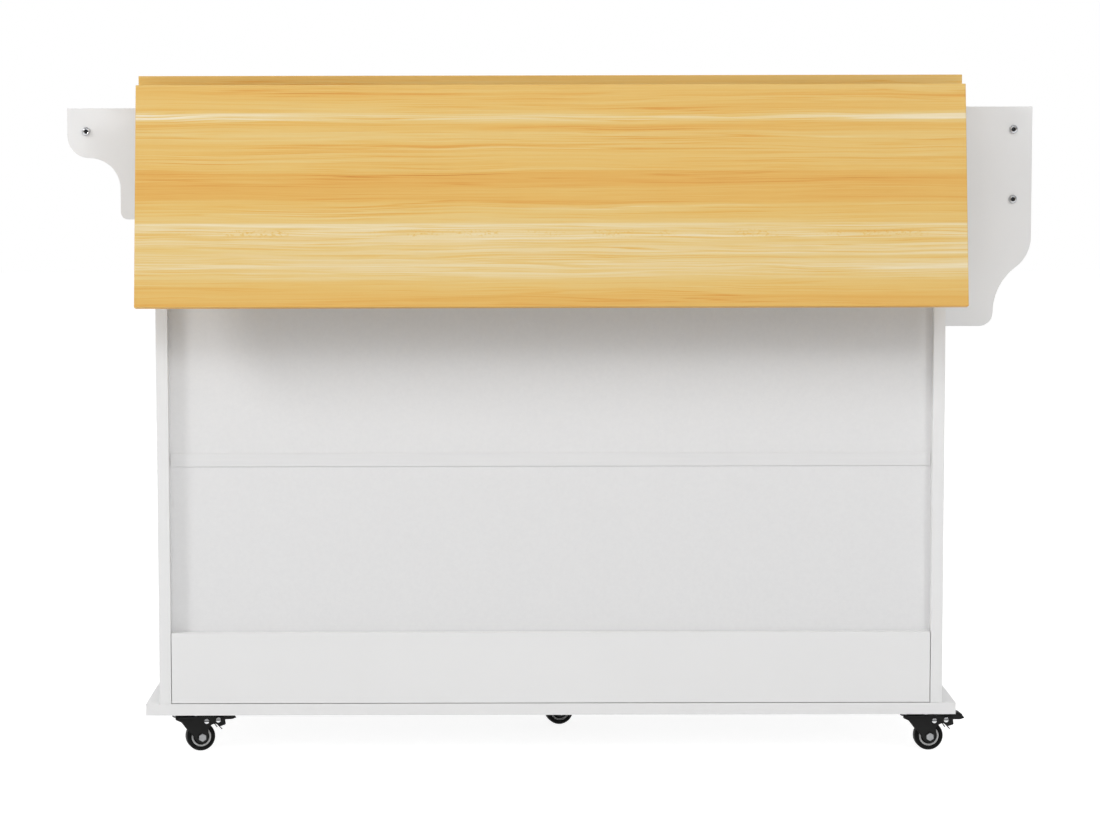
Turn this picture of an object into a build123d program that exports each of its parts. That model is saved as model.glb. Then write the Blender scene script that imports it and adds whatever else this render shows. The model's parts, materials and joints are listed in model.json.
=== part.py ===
from build123d import *
import math
import os

# Rolling kitchen island: white carcass on five casters, wooden worktop and drop leaf,
# towel rack and spice rack on the sides, doors and drawers in front.
# Millimetres, +Z up, doors face -Y, the leaf hangs on the +Y side, origin on the floor.

# Overall sizes
TOTAL_HEIGHT = 930.0
BOARD = 16.0
TOP_THICKNESS = 16.0
TOP_WIDTH = 1112.0
TOP_DEPTH = 470.0
SIDE_OVERHANG = 19.0
FRONT_OVERHANG = 19.0
CASTER_HEIGHT = 56.0

# Clearances
SLIDE_GAP = 0.4
PIN_CLEARANCE = 0.05
FACE_GAP = 0.3

# Drop leaf and its pivot, measured from the worktop's back lower edge
LEAF_LENGTH = 300.0
LEAF_GAP = 1.0
LEAF_TILT = 10.1
PIVOT_OUT = 11.0
PIVOT_DROP = 11.0

# Back of the carcass
LOWER_RAIL_HEIGHT = 98.0
UPPER_RAIL_HEIGHT = 150.0
BACK_THICKNESS = 4.0
GROOVE_DEPTH = 6.0
GROOVE_CLEARANCE = 0.1
STRIP_LEVEL = 407.0
STRIP_HEIGHT = 18.0
STRIP_FLANGE = 1.2
STRIP_WEB = 2.0
STRIP_END_GAP = 0.8

# Inside of the carcass
DRAWER_BAY = 400.0
STRETCHER_DEPTH = 70.0
STOP_GAP = 0.5
SHELF_LEVEL = 480.0
SHELF_SIDE_GAP = 0.5
SHELF_SETBACK = 30.0
PIN_RADIUS = 2.5
PIN_IN = 8.0
PIN_OUT = 9.0
PIN_FROM_EDGE = 45.0

# Folding brackets under the leaf
BRACKET_X = 340.0
SHEET = 2.0
WALL_ARM_WIDTH = 26.0
LEAF_ARM_WIDTH = 20.0
LEAF_ARM_LENGTH = 276.0
LEAF_ARM_DEPTH = 20.0
LUG_RADIUS = 7.0
STRUT_DROP = 105.0
STRUT_LENGTH = 158.0
STRUT_WIDTH = 13.0
STRUT_SHEET = 1.5
STRUT_RADIUS = 6.0
PIVOT_RADIUS = 3.0
RIVET_HEAD_RADIUS = 5.0
RIVET_HEAD_HEIGHT = 1.5

# Racks on the sides
RACK_TOP_DROP = 27.0
RACK_REACH = 124.0
RACK_INSET = 60.0
ROD_RADIUS = 6.0
ROD_FROM_EDGE = 26.0
TOWEL_LOBE_HEIGHT = 68.0
TOWEL_LOBE_RADIUS = 30.0
TOWEL_COVE_RADIUS = 42.0
TOWEL_FOOT_RADIUS = 10.0
TOWEL_HEIGHT = 152.0
TOWEL_ROD_DROP = 31.5
SPICE_STRAIGHT = 178.0
SPICE_LOBE_RADIUS = 53.0
SPICE_COVE_RADIUS = 78.0
SPICE_CURVE_ANGLE = 52.6
SPICE_FOOT_RADIUS = 19.0
SPICE_ROD_DROPS = (31.0, 126.5)
SPICE_SHELF_DROPS = (28.0, 50.0)
SPICE_SHELF_DEPTH = 110.0
SPICE_SHELF_THICKNESS = 12.0
SCREW_RADIUS = 2.5
SCREW_HEAD_RADIUS = 6.0
SCREW_HEAD_HEIGHT = 4.5
SCREW_SOCKET_RADIUS = 3.0
SCREW_SOCKET_DEPTH = 2.5
SCREW_INTO_ROD = 14.0

# Doors and their butt hinges
DOOR_GAP = 2.0
HINGE_GAP = 3.0
DOOR_FRAME = 58.0
DRAWER_FRAME = 40.0
PANEL_RECESS = 4.0
HINGE_HEIGHT = 60.0
HINGE_FROM_END = 90.0
HINGE_SHEET = 1.2
HINGE_LEAF = 14.0
KNUCKLE_RADIUS = 3.5
HINGE_PIN_RADIUS = 2.0
HINGE_PIN_CAP = 2.0
KNUCKLE_GAP = 0.2

# Knobs
KNOB_REACH = 24.0
KNOB_RADIUS = 15.0
KNOB_NECK_RADIUS = 6.0
KNOB_FOOT_RADIUS = 9.0
KNOB_FOOT_HEIGHT = 3.0
KNOB_HEAD_HEIGHT = 10.0
KNOB_EDGE_RADIUS = 3.0
DOOR_KNOB_FROM_EDGE = 29.0
DOOR_KNOB_LEVEL = 560.0

# Drawers and their runners
DRAWER_GAP = 3.0
TOP_FRONT_HEIGHT = 190.0
DRAWER_SIDE = 12.0
DRAWER_BOTTOM = 4.0
DRAWER_BACK_GAP = 23.5
BOX_RISE = 15.0
BOX_LESS = 60.0
BOTTOM_RISE = 8.0
BOTTOM_GROOVE = 5.0
RUNNER_SPACE = 13.0
RUNNER_SHEET = 1.5
RUNNER_HEIGHT = 40.0
RUNNER_LIP = 9.0
RUNNER_END_GAP = 10.0
RUNNER_RISE = 40.0

# Casters
CASTER_INSET_X = 52.0
CASTER_INSET_Y = 38.0
CASTER_YAWS = (16.0, 4.0, 10.0, 10.0, 13.0)
MIDDLE_CASTER_X = 4.0
CASTER_TRAIL = 19.0
CASTER_PLATE = 38.0
CASTER_PLATE_THICKNESS = 2.5
CASTER_SCREW_SPACING = 28.0
CASTER_SCREW_RADIUS = 2.0
CASTER_SCREW_HEAD_RADIUS = 3.8
CASTER_SCREW_HEAD_HEIGHT = 2.2
CASTER_SCREW_LENGTH = 12.0
RACE_RADIUS = 15.0
RACE_HEIGHT = 2.5
CROWN_RADIUS = 18.0
CROWN_THICKNESS = 3.0
KINGPIN_RADIUS = 4.0
KINGPIN_HEAD_RADIUS = 7.0
KINGPIN_HEAD_HEIGHT = 2.5
FORK_SHEET = 2.0
FORK_SIDE_GAP = 3.0
FORK_BOSS_RADIUS = 9.0
FORK_FRONT = -19.0
FORK_REAR = 22.0
FORK_LIP = 3.7
FORK_NECK = ((-10.0, 41.8), (-2.0, 31.0))
TAIL_TOP = (51.0, 46.0)
TAIL_UNDERSIDE = ((52.0, 38.4), (44.5, 35.1), (34.3, 38.0))
WHEEL_RADIUS = 20.0
WHEEL_WIDTH = 17.0
TYRE_EDGE = 3.0
CORE_RADIUS = 14.5
CORE_WIDTH = 15.0
CORE_RING = 3.5
CORE_DISH = 3.0
HUB_RADIUS = 6.5
AXLE_RADIUS = 3.0
AXLE_NUT_RADIUS = 6.1
AXLE_NUT_HEIGHT = 4.0
PEDAL_PIVOT_OUT = 25.5
PEDAL_PIVOT_LEVEL = 42.0
PEDAL_PIVOT_RADIUS = 2.0
PEDAL_HUB_RADIUS = 4.5
PEDAL_EAR = 1.8
PEDAL_LEVEL = 47.0
PEDAL_SHEET = 2.5
PEDAL_RAMP = (46.0, 56.5)
PEDAL_CREST = 54.3
PEDAL_TIP = (65.5, 48.7)
PEDAL_FLANGE = ((53.0, 45.2), (60.0, 46.0))
SHOE_OUT = 35.0
SHOE_LENGTH = 6.0
SHOE_CLEARANCE = 2.2
TAIL_RIVET_OUT = 41.9
TAIL_RIVET_RISE = 1.0
TAIL_RIVET_RADIUS = 3.7
TAIL_RIVET_HEIGHT = 1.2

# Levels and planes worked out from the sizes above
Z_BASE = CASTER_HEIGHT
Z_FLOOR = Z_BASE + BOARD
Z_UNDER = TOTAL_HEIGHT - TOP_THICKNESS
TILT = math.radians(LEAF_TILT)
LEAF_SWING = 90.0 - LEAF_TILT
LEAF_REACH = (
    PIVOT_OUT
    + (LEAF_GAP + LEAF_LENGTH - PIVOT_OUT) * math.sin(TILT)
    + (PIVOT_DROP + TOP_THICKNESS) * math.cos(TILT)
)
KNOB_PAST_TOP = max(0.0, KNOB_REACH - FRONT_OVERHANG)
Y_BACK = (TOP_DEPTH + KNOB_PAST_TOP - LEAF_REACH) / 2
Y_TOP_FRONT = Y_BACK - TOP_DEPTH
Y_FRONT = Y_TOP_FRONT + FRONT_OVERHANG
Y_PANEL_BACK = Y_BACK - BOARD
Y_PANEL_FRONT = Y_PANEL_BACK - BACK_THICKNESS
Y_INSIDE = Y_PANEL_FRONT - STRIP_FLANGE - FACE_GAP
X_OUT = TOP_WIDTH / 2 - SIDE_OVERHANG
X_IN = X_OUT - BOARD
X_BAY = DRAWER_BAY / 2
X_DIVIDER = X_BAY + BOARD
Y_BOX_FRONT = Y_FRONT + BOARD
Y_BOX_BACK = Y_INSIDE - DRAWER_BACK_GAP
Z_RACK = Z_UNDER - RACK_TOP_DROP
Y_PIVOT = Y_BACK + PIVOT_OUT
Z_PIVOT = Z_UNDER - PIVOT_DROP
Z_STRUT = Z_PIVOT - STRUT_DROP
STRUT_REST = LEAF_TILT + math.degrees(math.asin(STRUT_DROP / STRUT_LENGTH * math.sin(TILT)))
STRUT_UP = 90.0 + math.degrees(math.asin(STRUT_DROP / STRUT_LENGTH))

nodes = {}


def block(x0, x1, y0, y1, z0, z1):
    size = Box(abs(x1 - x0), abs(y1 - y0), abs(z1 - z0))
    return Pos((x0 + x1) / 2, (y0 + y1) / 2, (z0 + z1) / 2) * size


def rod(start, direction, radius, length):
    return Solid.make_cylinder(radius, length, Plane(origin=start, z_dir=direction))


def hexagon(start, direction, radius, length):
    plane = Plane(origin=start, z_dir=direction)
    return extrude(plane * RegularPolygon(radius, 6), length)


def upright(edges_face, x_low, x_high):
    """Extrude a face drawn in (Y, Z) along X."""
    plane = Plane(origin=(x_low, 0, 0), x_dir=(0, 1, 0), z_dir=(1, 0, 0))
    return extrude(plane * edges_face, x_high - x_low)


def keep(name, *shapes):
    for shape in shapes:
        nodes.setdefault(name, []).extend(shape.solids())


# Carcass boards
def make_carcass():
    keep("worktop", block(-TOP_WIDTH / 2, TOP_WIDTH / 2, Y_TOP_FRONT, Y_BACK, Z_UNDER, TOTAL_HEIGHT))

    base = block(-TOP_WIDTH / 2, TOP_WIDTH / 2, Y_TOP_FRONT, Y_BACK, Z_BASE, Z_FLOOR)
    for x, y, braked in caster_places():
        for screw_x, screw_y in caster_screw_places(x, y):
            depth = CASTER_SCREW_LENGTH - CASTER_PLATE_THICKNESS
            base -= rod((screw_x, screw_y, Z_BASE), (0, 0, 1), CASTER_SCREW_RADIUS + PIN_CLEARANCE, depth)
    keep("base_board", base)

    for side, name in ((-1, "left"), (1, "right")):
        panel = block(side * X_IN, side * X_OUT, Y_FRONT, Y_BACK, Z_FLOOR, Z_UNDER)
        groove = block(
            side * X_IN,
            side * (X_IN + GROOVE_DEPTH),
            Y_PANEL_FRONT - GROOVE_CLEARANCE,
            Y_PANEL_BACK + GROOVE_CLEARANCE,
            Z_FLOOR,
            Z_UNDER,
        )
        panel -= groove
        divider = block(side * X_BAY, side * X_DIVIDER, Y_FRONT, Y_INSIDE, Z_FLOOR, Z_UNDER)
        for y in shelf_pin_rows():
            panel -= shelf_pin(side * X_IN, side, y, PIN_CLEARANCE)
            divider -= shelf_pin(side * X_DIVIDER, -side, y, PIN_CLEARANCE)
            keep("shelf_pins", shelf_pin(side * X_IN, side, y, 0), shelf_pin(side * X_DIVIDER, -side, y, 0))
        keep("side_panel_" + name, panel)
        keep("partition_" + name, divider)

        shelf = block(
            side * (X_DIVIDER + SHELF_SIDE_GAP),
            side * (X_IN - SHELF_SIDE_GAP),
            Y_FRONT + BOARD + SHELF_SETBACK,
            Y_INSIDE,
            SHELF_LEVEL,
            SHELF_LEVEL + BOARD,
        )
        keep("shelves", shelf)

    y_stretcher = Y_FRONT + BOARD + STOP_GAP
    for x0, x1 in ((-X_IN, -X_DIVIDER), (-X_BAY, X_BAY), (X_DIVIDER, X_IN)):
        keep("top_stretchers", block(x0, x1, y_stretcher, y_stretcher + STRETCHER_DEPTH, Z_UNDER - BOARD, Z_UNDER))


def shelf_pin_rows():
    return (Y_FRONT + BOARD + SHELF_SETBACK + PIN_FROM_EDGE, Y_INSIDE - PIN_FROM_EDGE)


def shelf_pin(x_face, into, y, extra):
    """A shelf pin that enters a board at x_face in the direction into."""
    start = (x_face - into * PIN_OUT, y, SHELF_LEVEL - PIN_RADIUS - PIN_CLEARANCE)
    return rod(start, (into, 0, 0), PIN_RADIUS + extra, PIN_OUT + PIN_IN)


# Back of the carcass: two rails, two thin panels and the strip between them
def make_back():
    keep("back_rail_lower", block(-X_IN, X_IN, Y_PANEL_BACK, Y_BACK, Z_FLOOR, Z_FLOOR + LOWER_RAIL_HEIGHT))
    keep("back_rail_upper", block(-X_IN, X_IN, Y_PANEL_BACK, Y_BACK, Z_UNDER - UPPER_RAIL_HEIGHT, Z_UNDER))

    reach = X_IN + GROOVE_DEPTH - GROOVE_CLEARANCE
    low, high = STRIP_LEVEL - STRIP_WEB / 2, STRIP_LEVEL + STRIP_WEB / 2
    keep("back_panel_lower", block(-reach, reach, Y_PANEL_FRONT, Y_PANEL_BACK, Z_FLOOR, low))
    keep("back_panel_upper", block(-reach, reach, Y_PANEL_FRONT, Y_PANEL_BACK, high, Z_UNDER))

    x_end = X_IN - STRIP_END_GAP
    strip = block(-x_end, x_end, Y_PANEL_FRONT, Y_PANEL_BACK, low, high)
    for y0, y1 in ((Y_PANEL_BACK, Y_PANEL_BACK + STRIP_FLANGE), (Y_PANEL_FRONT - STRIP_FLANGE, Y_PANEL_FRONT)):
        strip += block(-x_end, x_end, y0, y1, STRIP_LEVEL - STRIP_HEIGHT / 2, STRIP_LEVEL + STRIP_HEIGHT / 2)
    keep("back_joining_strip", strip)


# Drop leaf, folding brackets and struts
def hang(shape):
    """Turn a shape drawn with the leaf level to the hanging rest position."""
    axis = Axis((0, Y_PIVOT, Z_PIVOT), (1, 0, 0))
    return shape.rotate(axis, -LEAF_SWING)


def make_leaf():
    inner = Y_BACK + LEAF_GAP
    leaf = block(-TOP_WIDTH / 2, TOP_WIDTH / 2, inner, inner + LEAF_LENGTH, Z_UNDER, TOTAL_HEIGHT)
    keep("drop_leaf", hang(leaf))
    for side in (-1, 1):
        keep("bracket_leaf_arms", hang(leaf_arm(side * BRACKET_X)))
        keep("bracket_wall_arms", wall_arm(side * BRACKET_X))
        for z in (Z_PIVOT, Z_STRUT):
            keep("bracket_wall_arms", pivot_rivet(side * BRACKET_X, z))
        keep("bracket_struts", strut(side * BRACKET_X))


def cheeks(face, x, outer_width, sheet):
    """Two upright sheets made from one (Y, Z) face, set outer_width apart over their outsides."""
    half = outer_width / 2
    return upright(face, x - half, x - half + sheet) + upright(face, x + half - sheet, x + half)


def pivot_hole(x, z, extra):
    start = (x - WALL_ARM_WIDTH, Y_PIVOT, z)
    return rod(start, (1, 0, 0), PIVOT_RADIUS + extra, 2 * WALL_ARM_WIDTH)


def pivot_rivet(x, z):
    half = WALL_ARM_WIDTH / 2
    pin = rod((x - half, Y_PIVOT, z), (1, 0, 0), PIVOT_RADIUS, WALL_ARM_WIDTH)
    pin += rod((x - half - RIVET_HEAD_HEIGHT, Y_PIVOT, z), (1, 0, 0), RIVET_HEAD_RADIUS, RIVET_HEAD_HEIGHT)
    pin += rod((x + half, Y_PIVOT, z), (1, 0, 0), RIVET_HEAD_RADIUS, RIVET_HEAD_HEIGHT)
    return pin


def wall_arm(x):
    top, foot = Z_PIVOT + LUG_RADIUS, Z_STRUT - LUG_RADIUS
    outline = Polyline(
        (Y_BACK, foot), (Y_PIVOT, foot), (Y_PIVOT + LUG_RADIUS, foot + LUG_RADIUS),
        (Y_PIVOT + LUG_RADIUS, top - LUG_RADIUS), (Y_PIVOT, top), (Y_BACK, top), close=True,
    )
    face = make_face(outline)
    face += Pos(Y_PIVOT, Z_PIVOT) * Circle(LUG_RADIUS)
    face += Pos(Y_PIVOT, Z_STRUT) * Circle(LUG_RADIUS)
    half = WALL_ARM_WIDTH / 2
    arm = cheeks(face, x, WALL_ARM_WIDTH, SHEET)
    arm += block(x - half, x + half, Y_BACK, Y_BACK + SHEET, foot, top)
    arm -= pivot_hole(x, Z_PIVOT, PIN_CLEARANCE)
    arm -= pivot_hole(x, Z_STRUT, PIN_CLEARANCE)
    return arm


def leaf_arm(x):
    """A channel on the underside of the leaf, drawn with the leaf level."""
    end = Y_PIVOT + LEAF_ARM_LENGTH
    foot = Z_UNDER - LEAF_ARM_DEPTH
    corner = LEAF_ARM_DEPTH / 2
    full_depth_from = Y_PIVOT + 2 * LEAF_ARM_DEPTH
    outline = Polyline(
        (Y_PIVOT, Z_PIVOT - LUG_RADIUS), (full_depth_from, foot), (end - corner, foot),
        (end, foot + corner), (end, Z_UNDER), (Y_PIVOT + LUG_RADIUS, Z_UNDER),
        (Y_PIVOT, Z_PIVOT + LUG_RADIUS), close=True,
    )
    face = make_face(outline) + Pos(Y_PIVOT, Z_PIVOT) * Circle(LUG_RADIUS)
    half = LEAF_ARM_WIDTH / 2
    arm = cheeks(face, x, LEAF_ARM_WIDTH, SHEET)
    arm += block(x - half, x + half, Y_PIVOT + LUG_RADIUS, end, Z_UNDER - SHEET, Z_UNDER)
    arm -= pivot_hole(x, Z_PIVOT, PIN_CLEARANCE)
    return arm


def strut(x):
    """A channel that hangs from its pivot, drawn straight down and then turned to rest."""
    tip = Z_STRUT - STRUT_LENGTH
    face = Pos(Y_PIVOT, (Z_STRUT + tip) / 2) * Rectangle(2 * STRUT_RADIUS, STRUT_LENGTH)
    face += Pos(Y_PIVOT, Z_STRUT) * Circle(STRUT_RADIUS)
    face += Pos(Y_PIVOT, tip) * Circle(STRUT_RADIUS)
    half = STRUT_WIDTH / 2
    bar = cheeks(face, x, STRUT_WIDTH, STRUT_SHEET)
    web_back = Y_PIVOT - STRUT_RADIUS
    bar += block(x - half, x + half, web_back, web_back + STRUT_SHEET, tip, Z_STRUT)
    bar -= pivot_hole(x, Z_STRUT, PIN_CLEARANCE)
    roller = (LEAF_ARM_WIDTH - 2 * SHEET) / 2 - SLIDE_GAP
    bar += rod((x - roller, Y_PIVOT, tip), (1, 0, 0), PIVOT_RADIUS, 2 * roller)
    axis = Axis((0, Y_PIVOT, Z_STRUT), (1, 0, 0))
    return bar.rotate(axis, STRUT_REST)


# Racks on the two sides
def side_plate(outline, side, y_low):
    """Extrude an outline drawn outwards and upwards from the rack's top inner corner."""
    y_start = y_low + BOARD if side > 0 else y_low
    plane = Plane(origin=(side * X_OUT, y_start, Z_RACK), x_dir=(side, 0, 0), z_dir=(0, -side, 0))
    return extrude(plane * make_face(outline), BOARD)


def towel_outline():
    lobe_start = TOWEL_LOBE_HEIGHT - TOWEL_LOBE_RADIUS
    top = Line((0, 0), (RACK_REACH, 0))
    edge = Line((RACK_REACH, 0), (RACK_REACH, -lobe_start))
    lobe = JernArc(edge @ 1, (0, -1), TOWEL_LOBE_RADIUS, -90)
    cove = JernArc(lobe @ 1, (-1, 0), TOWEL_COVE_RADIUS, 90)
    stem = Line(cove @ 1, ((cove @ 1).X, -TOWEL_HEIGHT + TOWEL_FOOT_RADIUS))
    foot = JernArc(stem @ 1, (0, -1), TOWEL_FOOT_RADIUS, -90)
    bottom = Line(foot @ 1, (0, -TOWEL_HEIGHT))
    back = Line((0, -TOWEL_HEIGHT), (0, 0))
    return [top, edge, lobe, cove, stem, foot, bottom, back]


def spice_outline():
    top = Line((0, 0), (RACK_REACH, 0))
    edge = Line((RACK_REACH, 0), (RACK_REACH, -SPICE_STRAIGHT))
    lobe = JernArc(edge @ 1, (0, -1), SPICE_LOBE_RADIUS, -SPICE_CURVE_ANGLE)
    cove = JernArc(lobe @ 1, lobe % 1, SPICE_COVE_RADIUS, SPICE_CURVE_ANGLE)
    foot = JernArc(cove @ 1, (0, -1), SPICE_FOOT_RADIUS, -90)
    bottom = Line(foot @ 1, (0, (foot @ 1).Y))
    back = Line(bottom @ 1, (0, 0))
    return [top, edge, lobe, cove, foot, bottom, back]


def make_racks():
    y_front_plate = Y_FRONT + RACK_INSET
    y_rear_plate = Y_BACK - RACK_INSET - BOARD
    y_rod, y_rod_end = y_front_plate + BOARD, y_rear_plate
    x_rod = X_OUT + RACK_REACH - ROD_FROM_EDGE

    racks = (
        (1, "towel_brackets", towel_outline, "towel_bar", (TOWEL_ROD_DROP,)),
        (-1, "spice_end_plates", spice_outline, "spice_rails", SPICE_ROD_DROPS),
    )
    for side, plates, outline, rods, drops in racks:
        for y_low in (y_front_plate, y_rear_plate):
            plate = side_plate(outline(), side, y_low)
            for drop in drops:
                hole = rod(
                    (side * x_rod, y_low - BOARD, Z_RACK - drop), (0, 1, 0),
                    SCREW_RADIUS + PIN_CLEARANCE, 3 * BOARD,
                )
                plate -= hole
            keep(plates, plate)
        for drop in drops:
            bar = rod((side * x_rod, y_rod, Z_RACK - drop), (0, 1, 0), ROD_RADIUS, y_rod_end - y_rod)
            for y_end, inward, y_head in ((y_rod, 1, y_front_plate), (y_rod_end, -1, y_rear_plate + BOARD)):
                bore_start = (side * x_rod, y_end, Z_RACK - drop)
                bar -= rod(bore_start, (0, inward, 0), SCREW_RADIUS + PIN_CLEARANCE, SCREW_INTO_ROD + FACE_GAP)
                keep("rack_screws", rack_screw(side * x_rod, y_head, Z_RACK - drop, inward))
            keep(rods, bar)

    for rod_drop, shelf_drop in zip(SPICE_ROD_DROPS, SPICE_SHELF_DROPS):
        top = Z_RACK - rod_drop - shelf_drop
        shelf = block(
            -X_OUT - SPICE_SHELF_DEPTH, -X_OUT, y_rod, y_rod_end, top - SPICE_SHELF_THICKNESS, top
        )
        keep("spice_shelves", shelf)


def rack_screw(x, y_head, z, inward):
    """A button-head socket screw that enters a plate at y_head in the direction inward."""
    start = (x, y_head - inward * SCREW_HEAD_HEIGHT, z)
    head = rod(start, (0, inward, 0), SCREW_HEAD_RADIUS, SCREW_HEAD_HEIGHT)
    rim = head.edges().filter_by(GeomType.CIRCLE).sort_by(Axis.Y)
    head = fillet(rim[0] if inward > 0 else rim[-1], SCREW_HEAD_HEIGHT / 2)
    head -= hexagon(start, (0, inward, 0), SCREW_SOCKET_RADIUS, SCREW_SOCKET_DEPTH)
    return head + rod((x, y_head, z), (0, inward, 0), SCREW_RADIUS, BOARD + SCREW_INTO_ROD)


# Doors, butt hinges and knobs
def knob(x, z):
    """A turned knob that stands on the front plane and points to -Y."""
    stem = KNOB_REACH - KNOB_HEAD_HEIGHT
    body = rod((x, Y_FRONT, z), (0, -1, 0), KNOB_FOOT_RADIUS, KNOB_FOOT_HEIGHT)
    body += rod((x, Y_FRONT, z), (0, -1, 0), KNOB_NECK_RADIUS, stem)
    head = rod((x, Y_FRONT - stem, z), (0, -1, 0), KNOB_RADIUS, KNOB_HEAD_HEIGHT)
    head = fillet(head.edges().filter_by(GeomType.CIRCLE), KNOB_EDGE_RADIUS)
    return body + head


def sunk_front(x0, x1, z0, z1, border):
    """A door or drawer front whose middle is sunk below a plain frame."""
    front = block(x0, x1, Y_FRONT, Y_FRONT + BOARD, z0, z1)
    x_low, x_high = min(x0, x1) + border, max(x0, x1) - border
    return front - block(x_low, x_high, Y_FRONT, Y_FRONT + PANEL_RECESS, z0 + border, z1 - border)


def hinge_levels():
    return (Z_FLOOR + HINGE_FROM_END, Z_UNDER - HINGE_FROM_END - HINGE_HEIGHT)


def hinge_leaf(x_axis, toward, z0, spans, x_face):
    """One hinge plate on the face x_face, with knuckles over the given spans of its height."""
    y_axis = Y_FRONT - KNUCKLE_RADIUS
    x_sheet = x_face - toward * HINGE_SHEET
    y_plate = Y_FRONT + FACE_GAP
    leaf = block(x_face, x_sheet, y_plate, y_plate + HINGE_LEAF, z0, z0 + HINGE_HEIGHT)
    y_tab = y_axis + (KNUCKLE_RADIUS + HINGE_PIN_RADIUS) / 2
    for low, high in spans:
        leaf += block(x_face, x_sheet, y_tab, y_plate, low, high)
        leaf += rod((x_axis, y_axis, low), (0, 0, 1), KNUCKLE_RADIUS, high - low)
        leaf -= rod((x_axis, y_axis, low), (0, 0, 1), HINGE_PIN_RADIUS + PIN_CLEARANCE, high - low)
    return leaf


def make_doors():
    low, high = Z_FLOOR + DOOR_GAP, Z_UNDER - DOOR_GAP
    for side, name in ((-1, "left"), (1, "right")):
        x_hinge = side * (X_IN - HINGE_GAP)
        x_free = side * (X_DIVIDER + DOOR_GAP)
        keep("door_" + name, sunk_front(x_hinge, x_free, low, high, DOOR_FRAME))
        keep("door_" + name + "_knob", knob(x_free + side * DOOR_KNOB_FROM_EDGE, DOOR_KNOB_LEVEL))

        x_axis = side * (X_IN - HINGE_GAP / 2)
        y_axis = Y_FRONT - KNUCKLE_RADIUS
        third = HINGE_HEIGHT / 3
        for z in hinge_levels():
            frame_spans = ((z, z + third - KNUCKLE_GAP), (z + 2 * third + KNUCKLE_GAP, z + HINGE_HEIGHT))
            door_spans = ((z + third, z + 2 * third),)
            keep("door_hinge_frame_leaves", hinge_leaf(x_axis, side, z, frame_spans, side * X_IN))
            keep("door_" + name + "_hinge_leaves", hinge_leaf(x_axis, -side, z, door_spans, x_hinge))
            pin_length = HINGE_HEIGHT + 2 * HINGE_PIN_CAP
            pin = rod((x_axis, y_axis, z - HINGE_PIN_CAP), (0, 0, 1), HINGE_PIN_RADIUS, pin_length)
            for cap in (z - HINGE_PIN_CAP, z + HINGE_HEIGHT):
                pin += rod((x_axis, y_axis, cap), (0, 0, 1), KNUCKLE_RADIUS, HINGE_PIN_CAP)
            keep("door_hinge_frame_leaves", pin)


# Drawers and runners
def drawer_levels():
    """Lower edge and height of each drawer front, from the top one down."""
    space = Z_UNDER - Z_FLOOR - 2 * DOOR_GAP - 2 * DRAWER_GAP
    deep = (space - TOP_FRONT_HEIGHT) / 2
    levels = []
    top = Z_UNDER - DOOR_GAP
    for height in (TOP_FRONT_HEIGHT, deep, deep):
        levels.append((top - height, height))
        top -= height + DRAWER_GAP
    return levels


def runner(x_web, into, z, height, lip):
    """A channel with its web on x_web and its lips reaching in the direction into."""
    y0 = Y_BOX_FRONT + FACE_GAP
    y1 = Y_BOX_BACK - RUNNER_END_GAP
    channel = block(x_web, x_web + into * RUNNER_SHEET, y0, y1, z - height / 2, z + height / 2)
    x_lip = x_web + into * (RUNNER_SHEET + lip)
    for edge in (-1, 1):
        outer = z + edge * height / 2
        channel += block(x_web, x_lip, y0, y1, outer - edge * RUNNER_SHEET, outer)
    return channel


def make_drawers():
    x_front = X_BAY - DOOR_GAP
    x_box = X_BAY - RUNNER_SPACE
    inner_height = RUNNER_HEIGHT - 2 * RUNNER_SHEET - 2 * SLIDE_GAP
    for number, (low, height) in enumerate(drawer_levels(), start=1):
        name = "drawer_" + str(number)
        keep(name + "_front", sunk_front(-x_front, x_front, low, low + height, DRAWER_FRAME))
        keep(name + "_knob", knob(0, low + height - DRAWER_FRAME / 2))

        foot, top = low + BOX_RISE, low + BOX_RISE + height - BOX_LESS
        bottom = foot + BOTTOM_RISE
        x_inside = x_box - DRAWER_SIDE
        x_bottom = x_inside + BOTTOM_GROOVE
        floor_board = block(-x_bottom, x_bottom, Y_BOX_FRONT, Y_BOX_BACK, bottom, bottom + DRAWER_BOTTOM)
        back_board = block(
            -x_inside, x_inside, Y_BOX_BACK - DRAWER_SIDE, Y_BOX_BACK, bottom + DRAWER_BOTTOM, top
        )
        keep(name + "_box", floor_board, back_board)
        for side in (-1, 1):
            board = block(side * x_inside, side * x_box, Y_BOX_FRONT, Y_BOX_BACK, foot, top)
            groove = block(side * x_inside, side * x_bottom, Y_BOX_FRONT, Y_BOX_BACK, bottom, bottom + DRAWER_BOTTOM)
            keep(name + "_box", board - groove)
            level = foot + RUNNER_RISE
            keep(name + "_runners", runner(side * x_box, side, level, inner_height, RUNNER_LIP))
            keep("drawer_runner_outers", runner(side * X_BAY, -side, level, RUNNER_HEIGHT, RUNNER_LIP))


# Casters: drawn with the wheel trailing towards -X and its axle along Y, then turned a little
def caster_places():
    x = TOP_WIDTH / 2 - CASTER_INSET_X
    y_rear = Y_BACK - CASTER_INSET_Y
    y_front = Y_TOP_FRONT + CASTER_INSET_Y
    y_middle = (Y_BACK + Y_TOP_FRONT) / 2
    return (
        (x, y_rear, True), (-x, y_rear, True), (x, y_front, True), (-x, y_front, True),
        (MIDDLE_CASTER_X, y_middle, False),
    )


def caster_screw_places(x, y):
    half = CASTER_SCREW_SPACING / 2
    return [(x + i * half, y + j * half) for i in (-1, 1) for j in (-1, 1)]


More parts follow.
